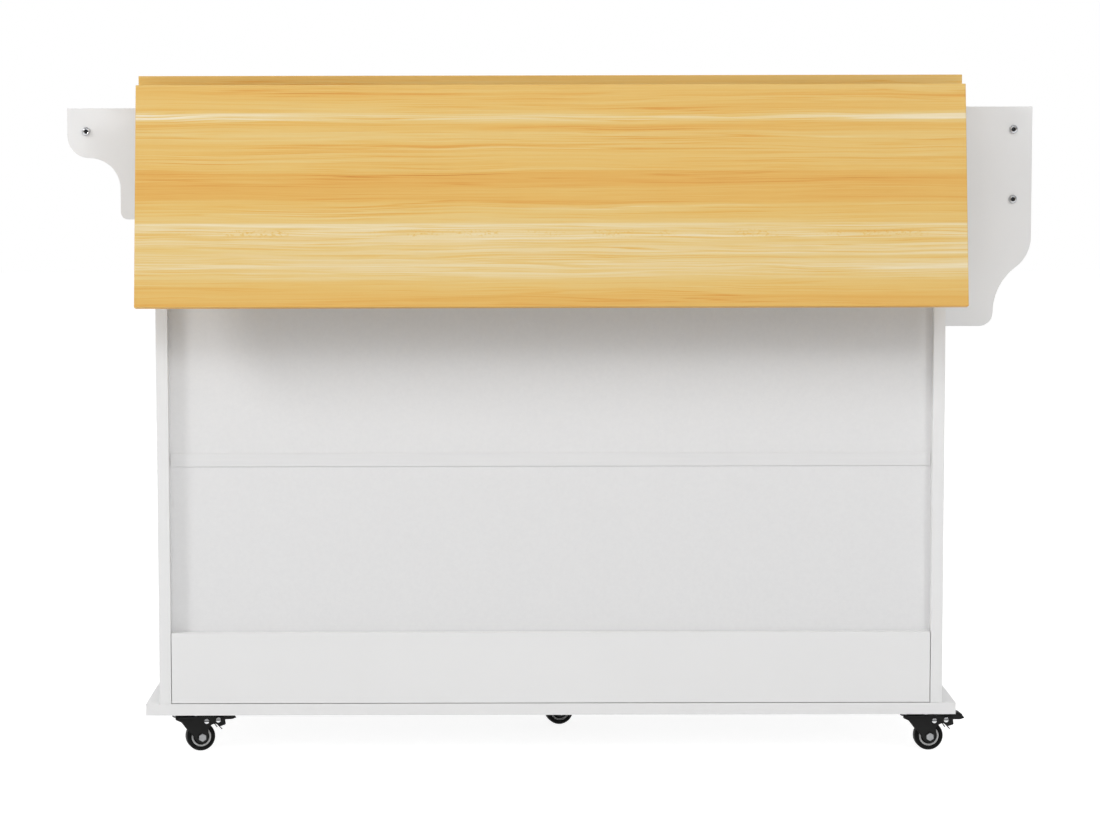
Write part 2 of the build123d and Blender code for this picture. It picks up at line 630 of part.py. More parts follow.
def caster_plate(x, y):
    half = CASTER_PLATE / 2
    under = Z_BASE - CASTER_PLATE_THICKNESS
    plate = block(x - half, x + half, y - half, y + half, under, Z_BASE)
    for screw_x, screw_y in caster_screw_places(x, y):
        hole = CASTER_SCREW_RADIUS + PIN_CLEARANCE
        plate -= rod((screw_x, screw_y, under), (0, 0, 1), hole, CASTER_PLATE_THICKNESS)
    plate += rod((x, y, under), (0, 0, -1), RACE_RADIUS, RACE_HEIGHT)
    head_top = crown_foot() - FACE_GAP
    plate += rod((x, y, under), (0, 0, -1), KINGPIN_RADIUS, under - head_top)
    plate += rod((x, y, head_top), (0, 0, -1), KINGPIN_HEAD_RADIUS, KINGPIN_HEAD_HEIGHT)
    return plate


def crown_foot():
    return Z_BASE - CASTER_PLATE_THICKNESS - RACE_HEIGHT - FACE_GAP - CROWN_THICKNESS


def caster_screw(x, y):
    under = Z_BASE - CASTER_PLATE_THICKNESS
    screw = rod((x, y, under), (0, 0, -1), CASTER_SCREW_HEAD_RADIUS, CASTER_SCREW_HEAD_HEIGHT)
    return screw + rod((x, y, under), (0, 0, 1), CASTER_SCREW_RADIUS, CASTER_SCREW_LENGTH - FACE_GAP)


def tangent_point(point, centre, radius):
    """Where a line from the point touches a circle on its lower left."""
    away = Vector(point[0] - centre[0], point[1] - centre[1])
    turn = math.degrees(math.acos(radius / away.length))
    touch = away.normalized().rotate(Axis.Z, turn) * radius
    return centre[0] + touch.X, centre[1] + touch.Y


def fork_face(braked):
    """One fork leg, drawn with the trail to the right and the height upwards."""
    boss = (CASTER_TRAIL, WHEEL_RADIUS)
    top = crown_foot() + CROWN_THICKNESS
    rear = CASTER_TRAIL + FORK_BOSS_RADIUS
    points = [(FORK_FRONT, top), (FORK_FRONT, top - FORK_LIP), *FORK_NECK]
    points += [tangent_point(FORK_NECK[-1], boss, FORK_BOSS_RADIUS), (rear, WHEEL_RADIUS)]
    if braked:
        points += [(rear, TAIL_UNDERSIDE[-1][1]), *reversed(TAIL_UNDERSIDE), TAIL_TOP]
    else:
        points.append((rear, crown_foot()))
    points.append((FORK_REAR, top))
    return make_face(Polyline(*points, close=True)) + Pos(*boss) * Circle(FORK_BOSS_RADIUS)


def in_caster(face, x, y_low, y_high):
    """Extrude a face drawn in (trail, height) across the caster."""
    plane = Plane(origin=(x, y_low, 0), x_dir=(-1, 0, 0), z_dir=(0, 1, 0))
    return extrude(plane * face, y_high - y_low)


def fork_inside():
    return WHEEL_WIDTH / 2 + FORK_SIDE_GAP


def caster_fork(x, y, braked):
    inside = fork_inside()
    fork = rod((x, y, crown_foot()), (0, 0, 1), CROWN_RADIUS, CROWN_THICKNESS)
    half = inside + FORK_SHEET
    crown_top = crown_foot() + CROWN_THICKNESS
    fork += block(x - CROWN_RADIUS, x - FORK_FRONT, y - half, y + half, crown_foot(), crown_top)
    for y_low in (y - inside - FORK_SHEET, y + inside):
        fork += in_caster(fork_face(braked), x, y_low, y_low + FORK_SHEET)
        if braked:
            outside = y_low if y_low < y else y_low + FORK_SHEET
            outward = -1 if y_low < y else 1
            tail_rivet = (x - TAIL_RIVET_OUT, outside, PEDAL_PIVOT_LEVEL + TAIL_RIVET_RISE)
            fork += rod(tail_rivet, (0, outward, 0), TAIL_RIVET_RADIUS, TAIL_RIVET_HEIGHT)
    fork -= rod((x, y, crown_foot()), (0, 0, 1), KINGPIN_RADIUS + PIN_CLEARANCE, CROWN_THICKNESS)
    across = 2 * half
    y_start = y - half
    fork -= rod((x - CASTER_TRAIL, y_start, WHEEL_RADIUS), (0, 1, 0), AXLE_RADIUS + PIN_CLEARANCE, across)
    if braked:
        pivot = (x - PEDAL_PIVOT_OUT, y_start, PEDAL_PIVOT_LEVEL)
        fork -= rod(pivot, (0, 1, 0), PEDAL_PIVOT_RADIUS + PIN_CLEARANCE, across)
    return fork


def caster_axle(x, y):
    across = 2 * (fork_inside() + FORK_SHEET)
    y_start = y - across / 2
    place = x - CASTER_TRAIL
    axle = rod((place, y_start, WHEEL_RADIUS), (0, 1, 0), AXLE_RADIUS, across)
    axle += hexagon((place, y_start, WHEEL_RADIUS), (0, -1, 0), AXLE_NUT_RADIUS, AXLE_NUT_HEIGHT)
    axle += hexagon((place, y_start + across, WHEEL_RADIUS), (0, 1, 0), AXLE_NUT_RADIUS, AXLE_NUT_HEIGHT)
    return axle


def pedal_rivet(x, y):
    across = 2 * (fork_inside() + FORK_SHEET)
    y_start = y - across / 2
    pivot = (x - PEDAL_PIVOT_OUT, y_start, PEDAL_PIVOT_LEVEL)
    pin = rod(pivot, (0, 1, 0), PEDAL_PIVOT_RADIUS, across)
    for y_face, outward in ((y_start, -1), (y_start + across, 1)):
        face = (x - PEDAL_PIVOT_OUT, y_face, PEDAL_PIVOT_LEVEL)
        pin += rod(face, (0, outward, 0), TAIL_RIVET_RADIUS, TAIL_RIVET_HEIGHT)
    return pin


def caster_pedal(x, y):
    """A pressed lever on two ears between the fork's tails, with a brake shoe behind the wheel's top."""
    outer = fork_inside() - FACE_GAP
    top = PEDAL_LEVEL + PEDAL_SHEET
    ear_front, ear_end = PEDAL_PIVOT_OUT - PEDAL_HUB_RADIUS, PEDAL_PIVOT_OUT + PEDAL_HUB_RADIUS
    shoe_end = SHOE_OUT + SHOE_LENGTH
    shoe_foot = WHEEL_RADIUS + math.sqrt((WHEEL_RADIUS + SHOE_CLEARANCE) ** 2 - (SHOE_OUT - CASTER_TRAIL) ** 2)
    ear = Polyline(
        (ear_front, PEDAL_PIVOT_LEVEL), (ear_front, top), (shoe_end, top),
        (shoe_end, PEDAL_PIVOT_LEVEL), close=True,
    )
    ear_face = make_face(ear) + Pos(PEDAL_PIVOT_OUT, PEDAL_PIVOT_LEVEL) * Circle(PEDAL_HUB_RADIUS)
    foot, crest = PEDAL_RAMP
    lever = Polyline(
        (ear_end, PEDAL_LEVEL), (ear_end, top), (foot, top), (crest, PEDAL_CREST), PEDAL_TIP,
        (PEDAL_TIP[0], PEDAL_TIP[1] - PEDAL_SHEET / 2), (crest, PEDAL_CREST - PEDAL_SHEET),
        (foot, PEDAL_LEVEL), close=True,
    )
    flange = Polyline(
        (PEDAL_FLANGE[0][0], PEDAL_CREST - PEDAL_SHEET), (crest, PEDAL_CREST), PEDAL_TIP,
        *reversed(PEDAL_FLANGE), close=True,
    )
    side_face = ear_face + make_face(flange)
    pedal = in_caster(make_face(lever), x, y - outer, y + outer)
    pedal += in_caster(side_face, x, y - outer, y - outer + PEDAL_EAR)
    pedal += in_caster(side_face, x, y + outer - PEDAL_EAR, y + outer)
    pedal += block(x - shoe_end, x - SHOE_OUT, y - outer, y + outer, shoe_foot, top)
    pivot = (x - PEDAL_PIVOT_OUT, y - outer, PEDAL_PIVOT_LEVEL)
    pedal -= rod(pivot, (0, 1, 0), PEDAL_PIVOT_RADIUS + PIN_CLEARANCE, 2 * outer)
    return pedal


def wheel_ring(x, y, outer, inner, width):
    ring = rod((x, y - width / 2, WHEEL_RADIUS), (0, 1, 0), outer, width)
    return ring - rod((x, y - width / 2, WHEEL_RADIUS), (0, 1, 0), inner, width)


def caster_tyre(x, y):
    tyre = rod((x, y - WHEEL_WIDTH / 2, WHEEL_RADIUS), (0, 1, 0), WHEEL_RADIUS, WHEEL_WIDTH)
    tyre = fillet(tyre.edges().filter_by(GeomType.CIRCLE), TYRE_EDGE)
    return tyre - rod((x, y - WHEEL_WIDTH / 2, WHEEL_RADIUS), (0, 1, 0), CORE_RADIUS, WHEEL_WIDTH)


def caster_core(x, y):
    bore = AXLE_RADIUS + PIN_CLEARANCE
    core = wheel_ring(x, y, CORE_RADIUS, CORE_RADIUS - CORE_RING, CORE_WIDTH)
    core += wheel_ring(x, y, CORE_RADIUS - CORE_RING, HUB_RADIUS, CORE_WIDTH - 2 * CORE_DISH)
    core += wheel_ring(x, y, HUB_RADIUS, bore, 2 * (fork_inside() - FACE_GAP))
    return core


def make_casters():
    for number, (x, y, braked) in enumerate(caster_places(), start=1):
        name = "caster_" + str(number)
        yaw = CASTER_YAWS[number - 1]
        keep("caster_plates", caster_plate(x, y))
        for screw_x, screw_y in caster_screw_places(x, y):
            keep("caster_screws", caster_screw(screw_x, screw_y))
        swivel = Axis((x, y, 0), (0, 0, 1))
        fork = [caster_fork(x, y, braked), caster_axle(x, y)]
        wheel = [caster_tyre(x - CASTER_TRAIL, y), caster_core(x - CASTER_TRAIL, y)]
        if braked:
            fork.append(pedal_rivet(x, y))
            keep(name + "_pedal", caster_pedal(x, y).rotate(swivel, yaw))
        keep(name + "_fork", *[piece.rotate(swivel, yaw) for piece in fork])
        keep(name + "_wheel", *[piece.rotate(swivel, yaw) for piece in wheel])


make_carcass()
make_back()
make_leaf()
make_racks()
make_doors()
make_drawers()
make_casters()

os.makedirs("parts", exist_ok=True)
for node_name, pieces in nodes.items():
    export_step(Compound(pieces), os.path.join("parts", node_name + ".step"))
print(len(nodes), "nodes")
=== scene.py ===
import json
import math

import bmesh
import bpy
from mathutils import Matrix, Vector


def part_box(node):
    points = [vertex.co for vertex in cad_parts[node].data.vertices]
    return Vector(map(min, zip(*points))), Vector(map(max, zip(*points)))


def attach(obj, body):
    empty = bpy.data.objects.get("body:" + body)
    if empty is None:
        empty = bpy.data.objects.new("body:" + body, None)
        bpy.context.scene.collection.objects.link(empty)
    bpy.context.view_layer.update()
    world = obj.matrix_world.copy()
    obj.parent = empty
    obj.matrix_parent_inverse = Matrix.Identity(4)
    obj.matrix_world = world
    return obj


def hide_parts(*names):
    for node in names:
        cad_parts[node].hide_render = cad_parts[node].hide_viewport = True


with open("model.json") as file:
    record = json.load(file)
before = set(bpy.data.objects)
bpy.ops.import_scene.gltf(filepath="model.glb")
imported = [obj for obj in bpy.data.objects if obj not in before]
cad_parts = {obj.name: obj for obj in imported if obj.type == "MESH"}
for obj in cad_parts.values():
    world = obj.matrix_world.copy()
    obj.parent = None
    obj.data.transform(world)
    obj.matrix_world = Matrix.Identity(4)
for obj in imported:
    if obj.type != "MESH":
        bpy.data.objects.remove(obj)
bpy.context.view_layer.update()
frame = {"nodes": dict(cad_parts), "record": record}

MM = 0.001
body_of_node = {}
for body_name, members in frame["record"]["behaviour"]["bodies"].items():
    for member in members:
        body_of_node[member] = body_name

# Shared sizes in millimetres, angles in degrees and directions
TOP_HEIGHT = 930.0
BACK_EDGE = 193.28
FRONT_FACE = -257.72
PIVOT = Vector((0.0, 204.28, 903.0))
LEAF_NEAR_EDGE = -10.0
LEAF_SWING = 79.9
CASTER_YAWS = (16.0, 4.0, 10.0, 10.0, 13.0)
BRAKED_CASTERS = 4
ALONG_Y = (0.0, 1.0, 0.0)
UP = (0.0, 0.0, 1.0)

# Points of a mesh that lie nearer than this, in metres, are one point
MERGE_WITHIN = 1e-6

joint_place = {}
for joint in frame["record"]["behaviour"]["joints"]:
    joint_place[joint["name"]] = Vector(joint.get("pos_m", (0.0, 0.0, 0.0)))


# Node materials
def linear(code):
    """An sRGB hex colour as the linear values that a shader reads."""
    shares = [int(code[i:i + 2], 16) / 255 for i in (1, 3, 5)]
    return [s / 12.92 if s <= 0.04045 else ((s + 0.055) / 1.055) ** 2.4 for s in shares] + [1.0]


def add_node(tree, kind, settings=None, links=None):
    """Add a node with its settings; links gives each socket a value or another socket."""
    node = tree.nodes.new(kind)
    for key, value in (settings or {}).items():
        setattr(node, key, value)
    for key, value in (links or {}).items():
        if isinstance(value, bpy.types.NodeSocket):
            tree.links.new(value, node.inputs[key])
        else:
            node.inputs[key].default_value = value
    return node


def start_finish(name):
    """A new material with one shader, and where a point lies on the piece."""
    finish = bpy.data.materials.new(name)
    finish.use_nodes = True
    tree = finish.node_tree
    tree.nodes.clear()
    shader = add_node(tree, "ShaderNodeBsdfPrincipled")
    add_node(tree, "ShaderNodeOutputMaterial", links={"Surface": shader.outputs["BSDF"]})
    place = add_node(tree, "ShaderNodeTexCoord").outputs["Object"]
    return finish, tree, shader, place


def set_stops(ramp, stops):
    """Give a colour ramp its stops, each a place from 0 to 1 and a colour."""
    elements = ramp.color_ramp.elements
    while len(elements) > len(stops):
        elements.remove(elements[-1])
    while len(elements) < len(stops):
        elements.new(1.0)
    for element, (position, colour) in zip(elements, stops):
        element.position = position
        element.color = colour


def grey(value):
    return (value, value, value, 1.0)


# Printed wood: a satin melamine foil printed with straight yellow softwood, laid in planks.
# It gives the eye long streaks along the board, a few honey veins and one pale plank.
PRINT_WIDTH = 300.0
LINE_WANDER = 16.0
EDGING_TONE = 0.5
MEAN_GRAIN = 0.54
STREAK_DEPTH = 0.30


def grain(tree, place, length_mm, width_mm, detail, start):
    """A noise drawn out along the board, from about 0.25 to 0.75."""
    drawn_out = add_node(tree, "ShaderNodeMapping", links={
        "Vector": place, "Location": (start, 2.3 * start, 0.0),
        "Scale": (1 / (length_mm * MM), 1 / (width_mm * MM), 1.0),
    })
    return add_node(tree, "ShaderNodeTexNoise", links={
        "Vector": drawn_out.outputs["Vector"], "Scale": 1.0, "Detail": detail, "Roughness": 0.6,
    }).outputs[0]


def printed_wood(name, turn_deg, shift_mm, darker=0.0, edging=False, end_turn_deg=0.0):
    """The print of a board's faces, or the even print of its edging strips."""
    finish, tree, shader, place = start_finish(name)
    board = add_node(tree, "ShaderNodeMapping", links={
        "Vector": place,
        "Rotation": (math.radians(turn_deg), 0.0, math.radians(end_turn_deg)),
        "Location": shift_mm * MM,
    }).outputs["Vector"]
    axes = add_node(tree, "ShaderNodeSeparateXYZ", links={"Vector": board})
    along = axes.outputs["X"]

    # The print runs on round the board's edges, and its lines wander by a few millimetres
    over_edge = add_node(tree, "ShaderNodeMath", {"operation": "SUBTRACT"}, {
        0: axes.outputs["Y"], 1: axes.outputs["Z"],
    }).outputs["Value"]
    flat_place = add_node(tree, "ShaderNodeCombineXYZ", links={
        "X": along, "Y": over_edge,
    }).outputs["Vector"]
    across = add_node(tree, "ShaderNodeMath", {"operation": "MULTIPLY_ADD"}, {
        0: grain(tree, flat_place, 380.0, 60.0, 2.0, 0.0), 1: LINE_WANDER * MM, 2: over_edge,
    }).outputs["Value"]
    print_place = add_node(tree, "ShaderNodeCombineXYZ", links={
        "X": along, "Y": across,
    }).outputs["Vector"]

    # Planks across one print width: 0 is pale sapwood and 1 is honey heartwood
    prints = add_node(tree, "ShaderNodeMath", {"operation": "DIVIDE"}, {
        0: over_edge, 1: PRINT_WIDTH * MM,
    })
    width_share = add_node(tree, "ShaderNodeMath", {"operation": "FRACT"}, {
        0: prints.outputs["Value"],
    }).outputs["Value"]
    planks = add_node(tree, "ShaderNodeValToRGB", links={"Fac": width_share})
    set_stops(planks, [
        (0.0, grey(0.44)), (0.05, grey(0.52)), (0.12, grey(0.45)), (0.145, grey(0.38)),
        (0.165, grey(0.42)), (0.188, grey(0.58)), (0.23, grey(0.43)), (0.385, grey(0.48)),
        (0.40, grey(0.62)), (0.51, grey(0.60)), (0.545, grey(0.47)), (0.622, grey(0.41)),
        (0.627, grey(0.22)), (0.70, grey(0.27)), (0.78, grey(0.32)), (0.81, grey(0.22)),
        (0.865, grey(0.27)), (0.885, grey(0.44)), (1.0, grey(0.62)),
    ])

    # One white streak that shows towards the board's ends
    streak = add_node(tree, "ShaderNodeValToRGB", links={"Fac": width_share})
    set_stops(streak, [
        (0.124, grey(0.0)), (0.138, grey(STREAK_DEPTH)), (0.154, grey(STREAK_DEPTH)),
        (0.172, grey(0.0)),
    ])
    from_middle = add_node(tree, "ShaderNodeMath", {"operation": "ABSOLUTE"}, {0: along})
    streak_ends = add_node(tree, "ShaderNodeMapRange", links={
        "Value": from_middle.outputs["Value"], "From Min": 0.25, "From Max": 0.5, "To Min": 0.25,
    })
    white_streak = add_node(tree, "ShaderNodeMath", {"operation": "MULTIPLY"}, {
        0: streak.outputs["Color"], 1: streak_ends.outputs["Result"],
    }).outputs["Value"]

    # Broad bands, streaks and single fibres, all stretched along the board
    board_tone = add_node(tree, "ShaderNodeMath", {"operation": "SUBTRACT"}, {
        0: planks.outputs["Color"], 1: white_streak,
    })
    tone = EDGING_TONE if edging else board_tone.outputs["Value"]
    for length_mm, width_mm, detail, start, weight in (
        (1300.0, 16.0, 2.0, 1.3, 0.50), (520.0, 5.0, 4.0, 2.9, 0.34), (70.0, 1.3, 3.0, 4.1, 0.20),
    ):
        layer = grain(tree, print_place, length_mm, width_mm, detail, start)
        tone = add_node(tree, "ShaderNodeMath", {"operation": "MULTIPLY_ADD"}, {
            0: layer, 1: weight, 2: tone,
        }).outputs["Value"]

    # Thin late-wood veins: where a drawn-out noise crosses one level, and only in patches
    vein_field = grain(tree, print_place, 1100.0, 11.0, 2.5, 5.7)
    veins = add_node(tree, "ShaderNodeValToRGB", links={"Fac": vein_field})
    set_stops(veins, [
        (0.40, grey(0.0)), (0.435, grey(0.7)), (0.45, grey(0.0)), (0.50, grey(0.0)),
        (0.535, grey(1.0)), (0.55, grey(0.0)), (0.60, grey(0.0)), (0.63, grey(0.8)),
        (0.645, grey(0.0)),
    ])
    patches = add_node(tree, "ShaderNodeMapRange", links={
        "Value": grain(tree, print_place, 420.0, 26.0, 2.0, 7.9),
        "From Min": 0.42, "From Max": 0.62, "To Min": 0.02, "To Max": 0.36,
    }).outputs["Result"]
    vein_tone = add_node(tree, "ShaderNodeMath", {"operation": "MULTIPLY"}, {
        0: veins.outputs["Color"], 1: patches,
    }).outputs["Value"]
    honey_lines = add_node(tree, "ShaderNodeMapRange", links={
        "Value": grain(tree, print_place, 300.0, 2.6, 3.0, 18.7),
        "From Min": 0.56, "From Max": 0.68, "To Min": 0.0, "To Max": 0.19,
    }).outputs["Result"]
    pale_lines = add_node(tree, "ShaderNodeMapRange", links={
        "Value": grain(tree, print_place, 640.0, 4.5, 2.0, 9.7),
        "From Min": 0.60, "From Max": 0.70, "To Min": 0.0, "To Max": 0.10,
    }).outputs["Result"]
    for dark_lines in (honey_lines, vein_tone):
        tone = add_node(tree, "ShaderNodeMath", {"operation": "ADD"}, {
            0: tone, 1: dark_lines,
        }).outputs["Value"]
    tone = add_node(tree, "ShaderNodeMath", {"operation": "SUBTRACT"}, {
        0: tone, 1: pale_lines,
    }).outputs["Value"]

    # Fine flecks in one row along the pale plank, where the print shows cut rays
    fleck_row = add_node(tree, "ShaderNodeValToRGB", links={"Fac": width_share})
    row_depth = 0.0 if edging else 1.0
    set_stops(fleck_row, [
        (0.650, grey(0.0)), (0.665, grey(row_depth)), (0.675, grey(row_depth)), (0.690, grey(0.0)),
    ])
    flecks = add_node(tree, "ShaderNodeMapRange", links={
        "Value": grain(tree, print_place, 5.0, 3.0, 2.0, 12.1),
        "From Min": 0.52, "From Max": 0.66, "To Min": 0.0, "To Max": 0.24,
    }).outputs["Result"]
    fleck_runs = add_node(tree, "ShaderNodeMapRange", links={
        "Value": grain(tree, flat_place, 60.0, 90.0, 1.0, 16.3), "From Min": 0.44, "From Max": 0.56,
    }).outputs["Result"]
    flecks = add_node(tree, "ShaderNodeMath", {"operation": "MULTIPLY"}, {
        0: flecks, 1: fleck_runs,
    }).outputs["Value"]
    tone = add_node(tree, "ShaderNodeMath", {"operation": "MULTIPLY_ADD"}, {
        0: fleck_row.outputs["Color"], 1: flecks, 2: tone,
    }).outputs["Value"]
    tone = add_node(tree, "ShaderNodeMath", {"operation": "SUBTRACT"}, {
        0: tone, 1: MEAN_GRAIN - darker,
    }).outputs["Value"]
    wood = add_node(tree, "ShaderNodeValToRGB", links={"Fac": tone})
    set_stops(wood, [
        (0.0, linear("#ECE0C6")), (0.16, linear("#E4D0A2")), (0.32, linear("#E0C17C")),
        (0.46, linear("#DFB868")), (0.60, linear("#DDAE5A")), (0.76, linear("#DAA24D")),
        (0.90, linear("#D39540")), (1.0, linear("#C38436")),
    ])
    tree.links.new(wood.outputs["Color"], shader.inputs["Base Color"])

    # The foil is pressed with fine pores along the grain, so its satin gloss breaks up a little
    pore_field = grain(tree, print_place, 30.0, 1.0, 3.0, 14.3)
    gloss = add_node(tree, "ShaderNodeMapRange", links={
        "Value": pore_field, "From Min": 0.3, "From Max": 0.7, "To Min": 0.5, "To Max": 0.62,
    })
    tree.links.new(gloss.outputs["Result"], shader.inputs["Roughness"])
    pores = add_node(tree, "ShaderNodeBump", links={
        "Height": pore_field, "Strength": 0.12, "Distance": 0.15 * MM,
    })
    tree.links.new(pores.outputs["Normal"], shader.inputs["Normal"])
    shader.inputs["IOR"].default_value = 1.5
    shader.inputs["Specular IOR Level"].default_value = 0.35
    return finish


# White melamine board: a paper foil under clear resin, pressed on a steel plate.
# It gives the eye a clean, slightly cool white with a soft sheen and a very faint orange peel.
def white_melamine(name, code, roughness):
    finish, tree, shader, place = start_finish(name)
    cloud = add_node(tree, "ShaderNodeTexNoise", links={
        "Vector": place, "Scale": 1 / (180 * MM), "Detail": 3.0, "Roughness": 0.5,
    }).outputs[0]
    shade = add_node(tree, "ShaderNodeMix", {"data_type": "RGBA"}, {
        "Factor": cloud, "A": [c * 0.975 for c in linear(code)[:3]] + [1.0],
        "B": [min(1.0, c * 1.02) for c in linear(code)[:3]] + [1.0],
    })
    tree.links.new(shade.outputs["Result"], shader.inputs["Base Color"])
    peel = add_node(tree, "ShaderNodeTexNoise", links={
        "Vector": place, "Scale": 1 / (2.2 * MM), "Detail": 2.0, "Roughness": 0.5,
    }).outputs[0]
    gloss = add_node(tree, "ShaderNodeMapRange", links={
        "Value": peel, "From Min": 0.3, "From Max": 0.7,
        "To Min": roughness - 0.04, "To Max": roughness + 0.04,
    })
    tree.links.new(gloss.outputs["Result"], shader.inputs["Roughness"])
    bump = add_node(tree, "ShaderNodeBump", links={
        "Height": peel, "Strength": 0.08, "Distance": 0.05 * MM,
    })
    tree.links.new(bump.outputs["Normal"], shader.inputs["Normal"])
    shader.inputs["IOR"].default_value = 1.5
    return finish


# Painted fibreboard for the thin backs: sprayed white over pressed fibres.
# It gives the eye a flatter white than the boards, with a fine fibrous mottle.
def painted_fibreboard(name):
    finish, tree, shader, place = start_finish(name)
    mottle = add_node(tree, "ShaderNodeTexNoise", links={
        "Vector": place, "Scale": 1 / (5 * MM), "Detail": 4.0, "Roughness": 0.65,
    }).outputs[0]
    shade = add_node(tree, "ShaderNodeMix", {"data_type": "RGBA"}, {
        "Factor": mottle, "A": linear("#DEDEDF"), "B": linear("#E6E6E6"),
    })
    tree.links.new(shade.outputs["Result"], shader.inputs["Base Color"])
    bump = add_node(tree, "ShaderNodeBump", links={
        "Height": mottle, "Strength": 0.1, "Distance": 0.06 * MM,
    })
    tree.links.new(bump.outputs["Normal"], shader.inputs["Normal"])
    shader.inputs["Roughness"].default_value = 0.5
    shader.inputs["IOR"].default_value = 1.5
    return finish


# Extruded white plastic, for the strip between the backs.
# It gives the eye a smooth white, a little glossier than the boards.
def white_plastic(name):
    finish, tree, shader, place = start_finish(name)
    flow = add_node(tree, "ShaderNodeMapping", links={
        "Vector": place, "Scale": (1 / (120 * MM), 1 / (3 * MM), 1 / (3 * MM)),
    })
    flow = add_node(tree, "ShaderNodeTexNoise", links={
        "Vector": flow.outputs["Vector"], "Scale": 1.0, "Detail": 2.0,
    }).outputs[0]
    shade = add_node(tree, "ShaderNodeMix", {"data_type": "RGBA"}, {
        "Factor": flow, "A": linear("#DEDEDF"), "B": linear("#E4E4E4"),
    })
    tree.links.new(shade.outputs["Result"], shader.inputs["Base Color"])
    gloss = add_node(tree, "ShaderNodeMapRange", links={
        "Value": flow, "To Min": 0.26, "To Max": 0.38,
    })
    tree.links.new(gloss.outputs["Result"], shader.inputs["Roughness"])
    shader.inputs["IOR"].default_value = 1.46
    return finish


# Finished steel: plated with zinc or nickel, polished, or dark with oil. The dark steel also serves
# as painted shade in screw slots and sockets.
# It gives the eye a grey metal whose gloss changes in small cloudy patches.
def plated_steel(name, pale, deep, roughness, patch_mm):
    finish, tree, shader, place = start_finish(name)
    cloud = add_node(tree, "ShaderNodeTexNoise", links={
        "Vector": place, "Scale": 1 / (patch_mm * MM), "Detail": 4.0, "Roughness": 0.6,
    }).outputs[0]
    shade = add_node(tree, "ShaderNodeMix", {"data_type": "RGBA"}, {
        "Factor": cloud, "A": linear(pale), "B": linear(deep),
    })
    tree.links.new(shade.outputs["Result"], shader.inputs["Base Color"])
    gloss = add_node(tree, "ShaderNodeMapRange", links={
        "Value": cloud, "From Min": 0.3, "From Max": 0.7,
        "To Min": roughness - 0.06, "To Max": roughness + 0.08,
    })
    tree.links.new(gloss.outputs["Result"], shader.inputs["Roughness"])
    shader.inputs["Metallic"].default_value = 1.0
    return finish


# Satin coats: electrophoretic paint on pressed steel, and moulded polyurethane and nylon.
# They give the eye an even black or grey with a soft sheen and a fine grit.
def satin_coat(name, code, roughness, grit_mm, sheen):
    finish, tree, shader, place = start_finish(name)
    grit = add_node(tree, "ShaderNodeTexNoise", links={
        "Vector": place, "Scale": 1 / (grit_mm * MM), "Detail": 3.0, "Roughness": 0.6,
    }).outputs[0]
    shade = add_node(tree, "ShaderNodeMix", {"data_type": "RGBA"}, {
        "Factor": grit, "A": linear(code), "B": [c * 1.7 for c in linear(code)[:3]] + [1.0],
    })
    tree.links.new(shade.outputs["Result"], shader.inputs["Base Color"])
    gloss = add_node(tree, "ShaderNodeMapRange", links={
        "Value": grit, "From Min": 0.3, "From Max": 0.7,
        "To Min": roughness - 0.06, "To Max": roughness + 0.06,
    })
    tree.links.new(gloss.outputs["Result"], shader.inputs["Roughness"])
    bump = add_node(tree, "ShaderNodeBump", links={
        "Height": grit, "Strength": 0.1, "Distance": 0.05 * MM,
    })
    tree.links.new(bump.outputs["Normal"], shader.inputs["Normal"])
    shader.inputs["IOR"].default_value = 1.5
    shader.inputs["Specular IOR Level"].default_value = sheen
    return finish


# The prints of the two boards start at the edge where the boards meet
turned_back = Matrix.Rotation(math.radians(LEAF_SWING), 3, "X") @ PIVOT
LEAF_SHIFT = Vector((0.0, -turned_back.y - LEAF_NEAR_EDGE, PIVOT.z - TOP_HEIGHT - turned_back.z))
TOP_SHIFT = Vector((0.0, -BACK_EDGE, -TOP_HEIGHT))

leaf_wood = [
    printed_wood("printed_softwood_foil_leaf", LEAF_SWING, LEAF_SHIFT),
    printed_wood("printed_edging_leaf", LEAF_SWING, LEAF_SHIFT, darker=0.14, edging=True),
    printed_wood(
        "printed_end_edging_leaf", LEAF_SWING, LEAF_SHIFT, darker=0.1, edging=True,
        end_turn_deg=90.0,
    ),
]
top_wood = [
    printed_wood("printed_softwood_foil_worktop", 0.0, TOP_SHIFT),
    printed_wood("printed_edging_worktop", 0.0, TOP_SHIFT, darker=-0.06, edging=True),
    printed_wood(
        "printed_end_edging_worktop", 0.0, TOP_SHIFT, darker=-0.06, edging=True,
        end_turn_deg=90.0,
    ),
]
board_white = white_melamine("white_melamine_board", "#E8E8E8", 0.42)
door_white = white_melamine("white_lacquered_fibreboard", "#E9E9E8", 0.36)
back_white = painted_fibreboard("painted_fibreboard")
strip_white = white_plastic("extruded_white_plastic")
rivet_steel = plated_steel("polished_screw_steel", "#E2E3E4", "#D2D4D6", 0.16, 3.0)
dull_zinc = plated_steel("dull_zinc", "#B2B3B4", "#9C9DA0", 0.5, 3.0)
# Dark steel: oiled spring wire on the pedals, and painted shade on the faces inside screw slots and
# sockets
dark_steel_and_painted_shade = plated_steel("oiled_dark_steel", "#3E3F41", "#2A2B2D", 0.5, 1.5)
zinc = plated_steel("zinc_plated_steel", "#D6D7D9", "#BCBEC2", 0.26, 1.6)
nickel = plated_steel("brushed_nickel", "#C8C4BC", "#AFABA3", 0.3, 2.5)
chrome_rod = plated_steel("polished_steel_tube", "#D5D6D8", "#C3C5C8", 0.18, 30.0)
fork_black = satin_coat("black_painted_steel", "#101010", 0.4, 0.8, 0.2)
tyre_black = satin_coat("black_polyurethane", "#0A0A0A", 0.48, 1.5, 0.12)
core_black = satin_coat("black_moulded_nylon", "#161616", 0.5, 2.0, 0.2)
core_grey = satin_coat("grey_moulded_nylon", "#A6A6A6", 0.42, 2.5, 0.5)


